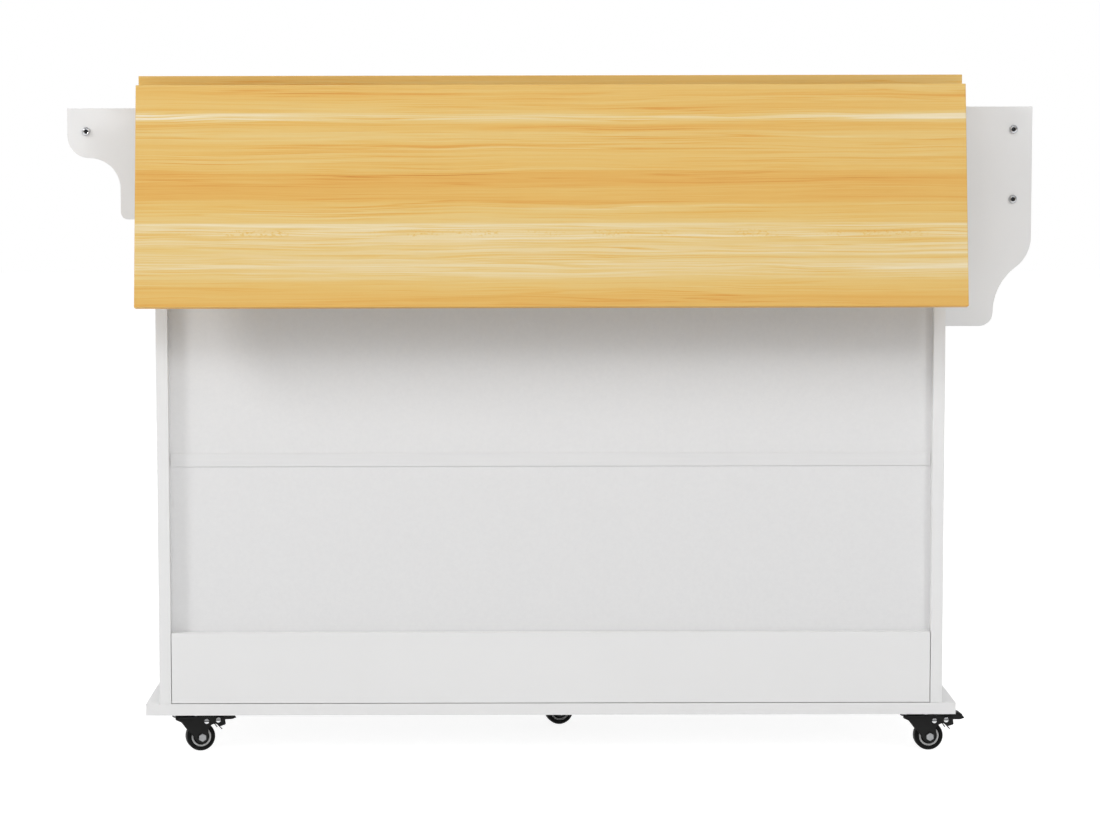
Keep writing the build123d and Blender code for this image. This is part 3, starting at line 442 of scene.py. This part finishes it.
# Making pieces: the angles for smooth shading, for rounding an edge and for one flat face
SMOOTH_UNDER = 50.0
SHARP_OVER = 35.0
FLAT_WITHIN = 0.6

# A face looks along a direction when the cosine of the angle between them is over this
FACING = 0.6

# The order of a wooden board's finishes
FACE_FINISH = 0
EDGING_FINISH = 1
END_FINISH = 2

# How far sharp edges are rounded, and other small trim, in millimetres
BOARD_EASING = 0.7
WOOD_EASING = 0.8
FRONT_EASING = 1.0
PANEL_EASING = 0.2
STRIP_EASING = 0.3
PRESSING_EASING = 0.3
HINGE_EASING = 0.2
NUT_EASING = 0.25
RAIL_GAP = 0.8
MOULDING = 3.0
NARROWEST_FRAME = 10.0


def give_piece(name, shell, finishes, body):
    """Turn a bmesh into a finished piece that rides on a body and looks flat where it is flat."""
    bmesh.ops.remove_doubles(shell, verts=shell.verts, dist=MERGE_WITHIN)
    mesh = bpy.data.meshes.new(name)
    shell.to_mesh(mesh)
    shell.free()
    mesh.shade_smooth()
    mesh.set_sharp_from_angle(angle=math.radians(SMOOTH_UNDER))
    for finish in finishes:
        mesh.materials.append(finish)
    piece = bpy.data.objects.new(name, mesh)
    bpy.context.scene.collection.objects.link(piece)
    weighted = piece.modifiers.new("flat_faces_first", "WEIGHTED_NORMAL")
    weighted.keep_sharp = True
    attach(piece, body)
    return piece


def copied_shell(node):
    """A merged copy of a node's shell, with its flat faces whole again."""
    shell = bmesh.new()
    shell.from_mesh(frame["nodes"][node].data)
    bmesh.ops.remove_doubles(shell, verts=shell.verts, dist=MERGE_WITHIN)
    bmesh.ops.dissolve_limit(
        shell, angle_limit=math.radians(FLAT_WITHIN), use_dissolve_boundaries=False,
        verts=shell.verts, edges=shell.edges, delimit=set(),
    )
    return shell


def ease_edges(shell, width_mm, segments=2):
    """Round the shell's sharp outer edges."""
    sharp = [
        e for e in shell.edges
        if len(e.link_faces) == 2 and e.calc_face_angle(0.0) > math.radians(SHARP_OVER)
    ]
    bmesh.ops.bevel(
        shell, geom=sharp, offset=width_mm * MM, affect="EDGES", segments=segments, profile=0.5,
        material=-1, clamp_overlap=True,
    )


def eased_board(node, width_mm, finish, gap_mm=0.0):
    """A board like its CAD node with eased edges and, where asked, a gap at its ends and foot."""
    shell = copied_shell(node)
    low, high = [Vector(corner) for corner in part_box(node)]
    for corner in shell.verts:
        corner.co.x += gap_mm * MM * (1.0 if corner.co.x < (low.x + high.x) / 2 else -1.0)
        if corner.co.z < (low.z + high.z) / 2:
            corner.co.z += gap_mm * MM
    ease_edges(shell, width_mm)
    piece = give_piece(node + "_board", shell, [finish], body_of_node[node])
    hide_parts(node)


def edged_wood(node, finishes, turn_deg):
    """A wooden board with printed faces, edging strips along it and edging strips at its ends."""
    shell = copied_shell(node)
    ease_edges(shell, WOOD_EASING, segments=3)
    up = Matrix.Rotation(math.radians(-turn_deg), 3, "X") @ Vector(UP)
    for face in shell.faces:
        face.normal_update()
        face.material_index = FACE_FINISH if abs(face.normal.dot(up)) > FACING else EDGING_FINISH
        if abs(face.normal.x) > FACING:
            face.material_index = END_FINISH
    piece = give_piece(node + "_board", shell, finishes, body_of_node[node])
    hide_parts(node)


def framed_front(node):
    """A door or drawer front whose frame has a rounded moulding round its sunk middle."""
    shell = copied_shell(node)
    low, high = [Vector(corner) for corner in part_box(node)]
    inside = NARROWEST_FRAME * MM
    near_face = 0.01 * MM
    moulding = [
        e for e in shell.edges
        if all(abs(v.co.y - FRONT_FACE * MM) < near_face for v in e.verts)
        and all(low.x + inside < v.co.x < high.x - inside for v in e.verts)
        and all(low.z + inside < v.co.z < high.z - inside for v in e.verts)
    ]
    bmesh.ops.bevel(
        shell, geom=moulding, offset=MOULDING * MM, affect="EDGES", segments=4, profile=0.5,
        material=-1, clamp_overlap=True,
    )
    ease_edges(shell, FRONT_EASING)
    piece = give_piece(node + "_framed", shell, [door_white], body_of_node[node])
    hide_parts(node)


edged_wood("worktop", top_wood, 0.0)
edged_wood("drop_leaf", leaf_wood, LEAF_SWING)

for board in (
    "base_board", "side_panel_left", "side_panel_right", "partition_left", "partition_right",
    "back_rail_upper", "top_stretchers", "shelves", "spice_shelves", "towel_brackets",
    "spice_end_plates",
):
    eased_board(board, BOARD_EASING, board_white)
eased_board("back_rail_lower", BOARD_EASING, board_white, RAIL_GAP)
for panel in ("back_panel_lower", "back_panel_upper"):
    eased_board(panel, PANEL_EASING, back_white)
eased_board("back_joining_strip", STRIP_EASING, strip_white)
for front in ("door_left", "door_right", "drawer_1_front", "drawer_2_front", "drawer_3_front"):
    framed_front(front)
for pressing in (
    "bracket_wall_arms", "bracket_leaf_arms", "bracket_struts", "drawer_runner_outers",
    "drawer_1_runners", "drawer_2_runners", "drawer_3_runners",
):
    eased_board(pressing, PRESSING_EASING, zinc)
for hinge in ("door_hinge_frame_leaves", "door_left_hinge_leaves", "door_right_hinge_leaves"):
    eased_board(hinge, HINGE_EASING, nickel)

# The shelf pins keep their CAD shape
pin_mesh = frame["nodes"]["shelf_pins"].data
pin_mesh.materials.clear()
pin_mesh.materials.append(zinc)


# Turned and pressed shapes, drawn in millimetres
def joined(shells):
    """One shell that holds several."""
    whole = bmesh.new()
    for shell in shells:
        mesh = bpy.data.meshes.new("part_of_a_piece")
        shell.to_mesh(mesh)
        shell.free()
        whole.from_mesh(mesh)
        bpy.data.meshes.remove(mesh)
    return whole


def in_finish(shell, index):
    """The same shell, with all its faces in one of its piece's finishes."""
    for face in shell.faces:
        face.material_index = index
    return shell


def both_sides(half):
    """A profile made of one half and its mirror image."""
    return half + [(radius, -along) for radius, along in reversed(half)]


def turned(profile, centre, axis, steps=48):
    """Spin a profile about an axis; each corner is its radius and its place along the axis."""
    shell = bmesh.new()
    axis = Vector(axis).normalized()
    outward = axis.orthogonal().normalized()
    centre = Vector(centre)
    places = [centre + outward * radius + axis * along for radius, along in profile]
    corners = [shell.verts.new(place * MM) for place in places]
    pairs = list(zip(corners, corners[1:]))
    if profile[0][0] > 0.0:
        pairs.append((corners[-1], corners[0]))
    edges = [shell.edges.new(pair) for pair in pairs]
    bmesh.ops.spin(
        shell, geom=corners + edges, cent=centre * MM, axis=axis, angle=math.tau, steps=steps,
        use_merge=True,
    )
    bmesh.ops.remove_doubles(shell, verts=shell.verts, dist=MERGE_WITHIN)
    bmesh.ops.recalc_face_normals(shell, faces=shell.faces)
    return shell


def cut_plate(corners, sweep, rim_mm):
    """A plate swept from a flat outline; each corner is its place and where its rounding starts."""
    shell = bmesh.new()
    points = [shell.verts.new(Vector(place) * MM) for place, _ in corners]
    shell.faces.new(points)
    for point, (_, cut) in zip(points, corners):
        if cut:
            bmesh.ops.bevel(
                shell, geom=[point], offset=cut * MM, affect="VERTICES", segments=6, profile=0.5,
                material=-1,
            )
    made = bmesh.ops.extrude_face_region(shell, geom=list(shell.faces))
    swept = [part for part in made["geom"] if isinstance(part, bmesh.types.BMVert)]
    bmesh.ops.translate(shell, verts=swept, vec=Vector(sweep) * MM)
    bmesh.ops.recalc_face_normals(shell, faces=shell.faces)
    ease_edges(shell, rim_mm)
    return shell


def hex_nut(centre, axis, radius, height):
    """A nut with chamfered corners that stands on its centre."""
    shell = bmesh.new()
    bmesh.ops.create_cone(
        shell, cap_ends=True, segments=6, radius1=radius * MM, radius2=radius * MM,
        depth=height * MM,
    )
    ease_edges(shell, NUT_EASING)
    stand = Vector(axis).to_track_quat("Z", "Y").to_matrix().to_4x4()
    place = Matrix.Translation((Vector(centre) + Vector(axis) * height / 2) * MM)
    bmesh.ops.transform(shell, matrix=place @ stand, verts=shell.verts)
    return shell


# Drawer boxes: each board is a shell of its own, with a little play where two boards meet
BOX_BOARD = 12.0
FLOOR_RISE = 8.0
FLOOR_THICKNESS = 4.0
FLOOR_GROOVE = 5.0
BOARD_PLAY = 0.05


def swept_board(outline, y_start, y_end):
    """A board whose outline, in X and Z, runs straight from front to back."""
    corners = [((x, y_start, z), 0.0) for x, z in outline]
    return cut_plate(corners, (0.0, y_end - y_start, 0.0), BOARD_EASING)


def drawer_box(node):
    """Two grooved sides, a thin floor in their grooves and a back that stands on the floor."""
    low, high = [Vector(corner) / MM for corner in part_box(node)]
    floor_low = low.z + FLOOR_RISE
    floor_high = floor_low + FLOOR_THICKNESS
    shells = []
    for outside, inward in ((low.x, 1.0), (high.x, -1.0)):
        inside = outside + inward * BOX_BOARD
        groove = inside - inward * FLOOR_GROOVE
        side = [
            (outside, low.z), (inside, low.z), (inside, floor_low), (groove, floor_low),
            (groove, floor_high), (inside, floor_high), (inside, high.z), (outside, high.z),
        ]
        shells.append(swept_board(side, low.y, high.y))
    floor_half = high.x - BOX_BOARD + FLOOR_GROOVE - BOARD_PLAY
    back_half = high.x - BOX_BOARD - BOARD_PLAY
    for half, bottom, top, y_start in (
        (floor_half, floor_low + BOARD_PLAY, floor_high - BOARD_PLAY, low.y),
        (back_half, floor_high + BOARD_PLAY, high.z, high.y - BOX_BOARD),
    ):
        flat = [(-half, bottom), (half, bottom), (half, top), (-half, top)]
        shells.append(swept_board(flat, y_start, high.y))
    box = joined(shells)
    piece = give_piece(node + "_board", box, [board_white], body_of_node[node])
    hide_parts(node)


for node in ("drawer_1_box", "drawer_2_box", "drawer_3_box"):
    drawer_box(node)


# Casters, drawn with the trail running towards -X and the axle along Y, then turned by the yaw
AXLE_OUT = 19.0
AXLE_LEVEL = 20.0
FORK_INSIDE = 11.5
FORK_OUTSIDE = 13.5
CROWN_LOW = 47.7
CROWN_TOP = 50.7
PLATE_LOW = 53.5
PLATE_TOP = 56.0
PLATE_CORNERS = ((-1, -1), (1, -1), (1, 1), (-1, 1))
PLATE_HALF = 19.0
PLATE_ROUNDING = 4.0
PLATE_EASING = 0.5
SCREW_FROM_MIDDLE = 14.0
LEG_EASING = 0.4
BRIDGE_EASING = 0.8
SHOE_EASING = 0.6
BOLT_FOOT = 14.1
BOLT_RADIUS = 5.5
BOLT_HEIGHT = 3.3
PEDAL_HALF = 11.2
PEDAL_EAR = 1.8
RIB_HALF = 8.0
RIBS = ((59.4, 52.4), (62.0, 51.3), (65.0, 49.0))
RIVETS = ((25.5, 42.0), (41.9, 43.0))
SLOT_HALF = 0.65
SLOT_DEPTH = 0.9
SPRING_SIDE = 10.6
SPRING_WIRE = 0.7
SPRING_ENDS = (((36.9, 38.3), (40.9, 32.6)), ((41.5, 36.4), (47.8, 29.6)))

# The finishes of a caster's fittings and of its pedal, and which of them some faces take
fitting_finishes = [rivet_steel, dull_zinc, dark_steel_and_painted_shade]
BOLT_FINISH = 1
# The slot faces take the dark steel as painted shade in the slots
SLOT_SHADE_FINISH = 2
pedal_finishes = [fork_black, dark_steel_and_painted_shade]
SPRING_FINISH = 1


def across(outline, low, high, rim_mm=LEG_EASING):
    """A plate across the caster; each corner is its trail, height and where its rounding starts."""
    corners = [((-trail, low, height), cut) for trail, height, cut in outline]
    return cut_plate(corners, (0.0, high - low, 0.0), rim_mm)


def at(trail, side, height):
    """A place on the caster."""
    return Vector((-trail, side, height))


AXLE = at(AXLE_OUT, 0.0, AXLE_LEVEL)


def fork_legs(braked):
    """Two pressed legs, the bridge between them and the crown round the kingpin."""
    leg = [
        (-17.8, CROWN_TOP, 0.5), (-17.8, 46.0, 0.8), (-8.3, 41.5, 1.5), (-1.1, 32.0, 2.5),
        (14.8, 11.0, 4.15), (28.0, 11.0, 8.9),
    ]
    if braked:
        leg += [
            (28.0, 33.5, 1.5), (33.0, 37.0, 0.5), (37.6, 38.4, 0.8), (44.6, 34.0, 1.0),
            (52.5, 36.4, 1.2), (51.4, 46.0, 1.0), (22.0, CROWN_TOP, 3.0),
        ]
    else:
        leg += [(28.0, CROWN_LOW, 2.0), (22.0, CROWN_TOP, 1.5)]
    bridge = [
        (-17.8, CROWN_LOW, 0.0), (18.0, CROWN_LOW, 0.0), (18.0, CROWN_TOP, 0.0),
        (-17.8, CROWN_TOP, 0.0),
    ]
    crown = [
        (4.2, CROWN_LOW), (17.4, CROWN_LOW), (18.0, 48.4), (18.0, 49.8), (16.8, CROWN_TOP),
        (4.2, CROWN_TOP),
    ]
    shells = [
        across(leg, FORK_INSIDE, FORK_OUTSIDE), across(leg, -FORK_OUTSIDE, -FORK_INSIDE),
        across(bridge, -FORK_OUTSIDE, FORK_OUTSIDE, BRIDGE_EASING),
        turned(crown, (0.0, 0.0, 0.0), UP),
    ]
    return joined(shells)


def slotted_head(centre, axis):
    """A domed screw head with a level slot across it, whose walls and floor are painted dark as the
    slot's shade.
    """
    dome = [(0.0, 13.4), (3.7, 13.4), (3.65, 13.9), (3.1, 14.5), (1.8, 14.9), (0.0, 15.05)]
    shell = turned(dome, centre, axis, steps=24)
    for edge in (-SLOT_HALF, SLOT_HALF):
        bmesh.ops.bisect_plane(
            shell, geom=shell.verts[:] + shell.edges[:] + shell.faces[:], dist=MERGE_WITHIN / 10,
            plane_co=(centre + Vector((0.0, 0.0, edge))) * MM, plane_no=UP,
        )
    shell.normal_update()
    slot = [
        f for f in shell.faces
        if f.normal.dot(axis) > FACING
        and abs(f.calc_center_median().z - centre.z * MM) < SLOT_HALF * MM
    ]
    # The sunk slot faces are painted dark as the slot's shade
    made = bmesh.ops.extrude_face_region(shell, geom=slot)
    for part in made["geom"]:
        if isinstance(part, bmesh.types.BMFace):
            part.material_index = SLOT_SHADE_FINISH
    sunk = [part for part in made["geom"] if isinstance(part, bmesh.types.BMVert)]
    bmesh.ops.translate(shell, verts=sunk, vec=-axis * SLOT_DEPTH * MM)
    bmesh.ops.delete(shell, geom=[f for f in slot if f.is_valid], context="FACES")
    return shell


def fork_fittings(braked):
    """Axle bolt head and nut on washers, and the slotted screws that hold the brake."""
    washer = [(3.0, 13.5), (4.4, 13.5), (4.6, 13.7), (4.4, 14.2), (3.0, 14.2)]
    bolt_end = [(0.0, 17.0), (2.9, 17.0), (2.9, 17.2), (2.3, 17.5), (0.0, 17.6)]
    shells = []
    for side in (-1.0, 1.0):
        outward = Vector((0.0, side, 0.0))
        shells.append(turned(washer, AXLE, outward, steps=32))
        bolt_head = hex_nut(AXLE + outward * BOLT_FOOT, outward, BOLT_RADIUS, BOLT_HEIGHT)
        shells.append(in_finish(bolt_head, BOLT_FINISH))
        if side < 0.0:
            shells.append(turned(bolt_end, AXLE, outward, steps=24))
        if braked:
            shells += [slotted_head(at(out, 0.0, level), outward) for out, level in RIVETS]
    return joined(shells)


def wheel_tyre():
    """A tread with rounded shoulders."""
    half = [
        (14.4, -7.6), (15.2, -8.4), (17.0, -8.5), (18.4, -8.1), (19.4, -7.2), (19.9, -5.8),
        (20.0, -4.0),
    ]
    return turned(both_sides(half), AXLE, ALONG_Y, steps=72)


def wheel_core():
    """A dished core: rim, web and hub, the same on both sides."""
    half = [
        (3.1, 11.2), (6.1, 11.2), (6.5, 10.8), (6.5, 5.2), (7.2, 4.6), (10.2, 4.5), (11.0, 5.2),
        (11.0, 7.5), (14.5, 7.5),
    ]
    return turned(both_sides(half), AXLE, ALONG_Y, steps=64)


def wheel_rings():
    """The pale rings that cover the rim on both sides of the core."""
    ring = [(11.2, 7.3), (13.6, 7.3), (13.6, 7.9), (13.2, 8.2), (11.6, 8.2), (11.2, 7.9)]
    return joined([turned(ring, AXLE, (0.0, side, 0.0), steps=64) for side in (-1.0, 1.0)])


def brake_pedal():
    """A bent lever with flanges and grip ribs, on two ears that hold the shoe and its spring."""
    lever = [
        (30.0, 47.0, 0.0), (30.0, 49.5, 0.6), (46.0, 49.5, 2.0), (57.0, 53.6, 3.0),
        (63.8, 50.6, 2.5), (68.0, 45.2, 0.6), (66.8, 44.2, 0.5), (62.8, 48.6, 2.0),
        (57.0, 51.2, 2.0), (46.0, 47.0, 2.0),
    ]
    flange = [
        (43.0, 48.9, 0.5), (57.0, 53.4, 3.0), (63.7, 50.4, 2.5), (67.8, 45.0, 1.0),
        (62.5, 42.8, 2.5), (43.0, 43.2, 1.0),
    ]
    ear = [
        (21.0, 49.5, 2.0), (21.0, 37.5, 4.4), (30.0, 37.5, 4.4), (30.0, 42.0, 1.0),
        (41.0, 42.0, 1.5), (41.0, 49.5, 1.0),
    ]
    shoe = [(35.0, 38.8, 1.0), (41.0, 38.8, 1.0), (41.0, 49.4, 0.5), (35.0, 49.4, 0.5)]
    shells = [
        across(lever, -PEDAL_HALF, PEDAL_HALF),
        across(shoe, -PEDAL_HALF, PEDAL_HALF, SHOE_EASING),
    ]
    for low in (-PEDAL_HALF, PEDAL_HALF - PEDAL_EAR):
        shells += [across(flange, low, low + PEDAL_EAR), across(ear, low, low + PEDAL_EAR)]
    rib = [(0.0, 0.0), (0.7, 0.3), (0.7, 2 * RIB_HALF - 0.3), (0.0, 2 * RIB_HALF)]
    for trail, height in RIBS:
        shells.append(turned(rib, at(trail, -RIB_HALF, height), ALONG_Y, steps=12))
    for start, end in SPRING_ENDS:
        foot, tip = at(start[0], SPRING_SIDE, start[1]), at(end[0], SPRING_SIDE, end[1])
        length = (tip - foot).length
        wire = [
            (0.0, 0.0), (SPRING_WIRE, 0.0), (SPRING_WIRE, length - 0.3), (0.3, length),
            (0.0, length),
        ]
        shells.append(in_finish(turned(wire, foot, tip - foot, steps=10), SPRING_FINISH))
    return joined(shells)


for number, yaw in enumerate(CASTER_YAWS, start=1):
    caster = "caster_%d" % number
    braked = number <= BRAKED_CASTERS
    stand = joint_place[caster + "_swivel"]
    turn = Matrix.Rotation(math.radians(yaw), 4, "Z")
    place = Matrix.Translation((stand.x, stand.y, 0.0)) @ turn
    makes = [
        ("_fork", "_fork_legs", fork_legs(braked), [fork_black], "_swivel", "black_metal"),
        (None, "_fork_fittings", fork_fittings(braked), fitting_finishes, "_swivel", "zinc_steel"),
        ("_wheel", "_tyre", wheel_tyre(), [tyre_black], "_wheel", "black_tyre"),
        (None, "_core", wheel_core(), [core_black], "_wheel", "black_tyre"),
        (None, "_core_rings", wheel_rings(), [core_grey], "_wheel", "black_tyre"),
    ]
    if braked:
        makes.append(
            ("_pedal", "_brake_pedal", brake_pedal(), pedal_finishes, "_pedal", "black_metal"),
        )
    for node, name, shell, finishes, body, slot in makes:
        bmesh.ops.transform(shell, matrix=place, verts=shell.verts)
        piece = give_piece(caster + name, shell, finishes, caster + body)
        if node:
            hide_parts(caster + node)


def caster_stands():
    """Where each caster's kingpin stands, on the floor and in millimetres."""
    joints = ["caster_%d_swivel" % number for number in range(1, len(CASTER_YAWS) + 1)]
    return [Vector((joint_place[name].x, joint_place[name].y, 0.0)) / MM for name in joints]


def plate_corners(stand, spread, height):
    """The corners of a square round a kingpin."""
    return [(stand.x + i * spread, stand.y + j * spread, height) for i, j in PLATE_CORNERS]


def caster_mounts():
    """Pressed plates with rounded corners, their races and the kingpins' riveted heads."""
    race = [(8.0, 51.0), (13.6, 51.0), (15.0, 51.8), (15.0, PLATE_LOW), (8.0, PLATE_LOW)]
    kingpin = [
        (0.0, 44.9), (4.2, 44.9), (6.2, 45.4), (7.0, 46.3), (7.0, 47.4), (4.0, 47.4),
        (4.0, PLATE_LOW), (0.0, PLATE_LOW),
    ]
    shells = []
    for stand in caster_stands():
        square = plate_corners(stand, PLATE_HALF, PLATE_LOW)
        corners = [(corner, PLATE_ROUNDING) for corner in square]
        shells += [
            cut_plate(corners, (0.0, 0.0, PLATE_TOP - PLATE_LOW), PLATE_EASING),
            turned(race, stand, UP), turned(kingpin, stand, UP, steps=24),
        ]
    return joined(shells)


def caster_screw_heads():
    """Pan heads with a driver's recess, four to a plate."""
    head = [(0.0, 52.4), (1.7, 51.35), (2.6, 51.4), (3.5, 52.2), (3.8, 53.5), (0.0, 53.5)]
    shells = []
    for stand in caster_stands():
        for foot in plate_corners(stand, SCREW_FROM_MIDDLE, 0.0):
            shells.append(turned(head, foot, UP, steps=16))
    return joined(shells)


mounts = give_piece("caster_mounts", caster_mounts(), [fork_black], "carcass")
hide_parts("caster_plates")
screw_heads = caster_screw_heads()
mount_screws = give_piece("caster_screw_heads", screw_heads, [zinc], "carcass")
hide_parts("caster_screws")


# Knobs, rods and rack screws: a rod's place is its x and z
ROD_OUT = 635.0
ROD_SPAN = (-181.72, 117.28)
TOWEL_ROD = [(ROD_OUT, 855.5)]
SPICE_RODS = [(-ROD_OUT, 856.0), (-ROD_OUT, 760.5)]
SCREW_HEAD = 4.5
SOCKET_FOOT = 0.8
SOCKET_RADIUS = 3.4
SOCKET_HEIGHT = 1.0
# The socket blocks take the dark steel as painted shade in the recess
SOCKET_SHADE_FINISH = 1


def turned_knob(node):
    """A mushroom knob on a waisted stem, where its node stands on the front."""
    low, high = [Vector(corner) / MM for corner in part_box(node)]
    profile = [
        (0.0, 0.0), (9.0, 0.0), (9.0, 1.4), (8.3, 2.6), (6.6, 3.4), (5.8, 5.6), (5.5, 8.6),
        (6.1, 11.6), (8.6, 13.6), (12.6, 14.8), (14.6, 16.2), (15.0, 18.0), (14.6, 20.2),
        (13.0, 22.2), (9.4, 23.4), (4.8, 23.9), (0.0, 24.0),
    ]
    foot = ((low.x + high.x) / 2, high.y, (low.z + high.z) / 2)
    knob = turned(profile, foot, (0.0, -1.0, 0.0), steps=56)
    piece = give_piece(node + "_turned", knob, [nickel], body_of_node[node])
    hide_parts(node)


def collared_rods(node, spots):
    """Rods with a small collar at each end, where they meet the rack's plates."""
    start, end = ROD_SPAN
    half = [(0.0, 0.0), (8.6, 0.0), (8.6, 2.2), (8.0, 3.0), (6.2, 3.4), (6.0, 3.8)]
    profile = half + [(radius, end - start - along) for radius, along in reversed(half)]
    rods = joined([turned(profile, (x, start, z), ALONG_Y, steps=40) for x, z in spots])
    piece = give_piece(node + "_collared", rods, [chrome_rod], body_of_node[node])
    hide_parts(node)


def rack_screw_heads():
    """Button heads over the plates, each with a dark hex block in its recess as the socket's
    painted shade.
    """
    low, high = [Vector(corner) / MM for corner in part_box("rack_screws")]
    dome = [(3.0, 1.0), (6.0, 0.0), (6.0, 1.6), (5.4, 3.1), (4.4, 4.1), (3.5, 4.5), (3.0, 4.2)]
    shells = []
    for x, z in TOWEL_ROD + SPICE_RODS:
        for y, outward in ((low.y + SCREW_HEAD, -1.0), (high.y - SCREW_HEAD, 1.0)):
            axis = Vector((0.0, outward, 0.0))
            shells.append(turned(dome, (x, y, z), axis, steps=32))
            # A dark hex block set down in the head's hole is the socket's painted shade
            foot = Vector((x, y, z)) + axis * SOCKET_FOOT
            socket = hex_nut(foot, axis, SOCKET_RADIUS, SOCKET_HEIGHT)
            shells.append(in_finish(socket, SOCKET_SHADE_FINISH))
    return joined(shells)


for front in ("door_left", "door_right", "drawer_1", "drawer_2", "drawer_3"):
    turned_knob(front + "_knob")
collared_rods("towel_bar", TOWEL_ROD)
collared_rods("spice_rails", SPICE_RODS)
# The second finish is painted shade in the screws' sockets
head_finishes = [zinc, dark_steel_and_painted_shade]
heads = give_piece("rack_screw_heads", rack_screw_heads(), head_finishes, "carcass")
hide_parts("rack_screws")


# Floor, light and camera, in metres, watts and radians
WHITE = (1.0, 1.0, 1.0, 1.0)
FLOOR_REACH = 14.0
FLOOR_GLOW = 1.48
GLOW_SHARE = 0.60
ROOM_LIGHT = 0.36
BACK_AIM = (0.0, 0.2, 0.5)
DOOR_AIM = (0.0, -0.1, 0.5)
LAMPS = (
    ("key_above", (0.2, 3.4, 2.9), BACK_AIM, 3.2, 37.0),
    ("left_side", (4.5, 2.7, 3.6), BACK_AIM, 1.4, 110.0),
    ("right_side", (-2.7, 4.4, 3.6), BACK_AIM, 1.4, 66.0),
    ("door_side", (-0.1, -3.6, 3.0), DOOR_AIM, 3.2, 98.0),
)
CAMERA_PLACE = (0.0597, BACK_EDGE * MM + 4.4981, 0.8746)
CAMERA_LENS = 108.49
CAMERA_SHIFT = (0.0393, 0.0034)
CAMERA_PITCH = 0.09
CAMERA_LEAN = -0.002


def soft_panel(name, place, aim, size, watts):
    """A round white lamp turned towards its aim."""
    lamp = bpy.data.lights.new(name, "AREA")
    lamp.shape = "DISK"
    lamp.size = size
    lamp.energy = watts
    holder = bpy.data.objects.new(name, lamp)
    holder.location = place
    holder.rotation_euler = (Vector(aim) - Vector(place)).to_track_quat("-Z", "Y").to_euler()
    bpy.context.scene.collection.objects.link(holder)


def lay_floor():
    """A wide sheet under the wheels."""
    shell = bmesh.new()
    bmesh.ops.create_grid(shell, x_segments=2, y_segments=2, size=FLOOR_REACH)
    mesh = bpy.data.meshes.new("floor")
    shell.to_mesh(mesh)
    shell.free()
    floor = bpy.data.objects.new("floor", mesh)
    bpy.context.scene.collection.objects.link(floor)

    # Pale paper floor: seen directly or in a reflection it is nearly white and keeps a faint shadow
    paper, tree, shader, _ = start_finish("pale_paper_floor")
    shader.inputs["Base Color"].default_value = linear("#F2F2F2")
    shader.inputs["Roughness"].default_value = 0.9
    glow = add_node(tree, "ShaderNodeEmission", links={"Color": WHITE, "Strength": FLOOR_GLOW})
    path = add_node(tree, "ShaderNodeLightPath")
    seen = add_node(tree, "ShaderNodeMath", {"operation": "MAXIMUM"}, {
        0: path.outputs["Is Camera Ray"], 1: path.outputs["Is Glossy Ray"],
    })
    seen = add_node(tree, "ShaderNodeMath", {"operation": "MAXIMUM"}, {
        0: seen.outputs["Value"], 1: path.outputs["Is Transmission Ray"],
    })
    share = add_node(tree, "ShaderNodeMath", {"operation": "MULTIPLY"}, {
        0: seen.outputs["Value"], 1: GLOW_SHARE,
    })
    blend = add_node(tree, "ShaderNodeMixShader", links={
        0: share.outputs["Value"], 1: shader.outputs["BSDF"], 2: glow.outputs["Emission"],
    })
    output = [n for n in tree.nodes if n.bl_idname == "ShaderNodeOutputMaterial"][0]
    tree.links.new(blend.outputs["Shader"], output.inputs["Surface"])
    mesh.materials.append(paper)


def set_world():
    """A white room that is dimmer as a light than it looks."""
    world = bpy.data.worlds.new("white_room")
    bpy.context.scene.world = world
    world.use_nodes = True
    tree = world.node_tree
    tree.nodes.clear()
    path = add_node(tree, "ShaderNodeLightPath")
    seen = add_node(tree, "ShaderNodeMath", {"operation": "MAXIMUM"}, {
        0: path.outputs["Is Camera Ray"], 1: path.outputs["Is Transmission Ray"],
    })
    strength = add_node(tree, "ShaderNodeMapRange", links={
        "Value": seen.outputs["Value"], "To Min": ROOM_LIGHT, "To Max": 1.0,
    })
    sky = add_node(tree, "ShaderNodeBackground", links={
        "Color": WHITE, "Strength": strength.outputs["Result"],
    })
    add_node(tree, "ShaderNodeOutputWorld", links={"Surface": sky.outputs["Background"]})


def set_camera():
    """The camera of the photo's view, level with the worktop and looking a little down."""
    eye = bpy.data.cameras.new("photo_camera")
    eye.sensor_width = 36.0
    eye.lens = CAMERA_LENS
    eye.shift_x, eye.shift_y = CAMERA_SHIFT
    eye.clip_end = 50.0
    holder = bpy.data.objects.new("photo_camera", eye)
    facing_back = Matrix.Rotation(math.pi, 4, "Z")
    looking_down = Matrix.Rotation(math.pi / 2 - CAMERA_PITCH, 4, "X")
    lean = Matrix.Rotation(CAMERA_LEAN, 4, "Z")
    turn = facing_back @ looking_down @ lean
    holder.matrix_world = Matrix.Translation(CAMERA_PLACE) @ turn
    bpy.context.scene.collection.objects.link(holder)
    bpy.context.scene.camera = holder


lay_floor()
set_world()
for lamp in LAMPS:
    soft_panel(*lamp)
set_camera()
bpy.context.scene.view_settings.view_transform = "Standard"
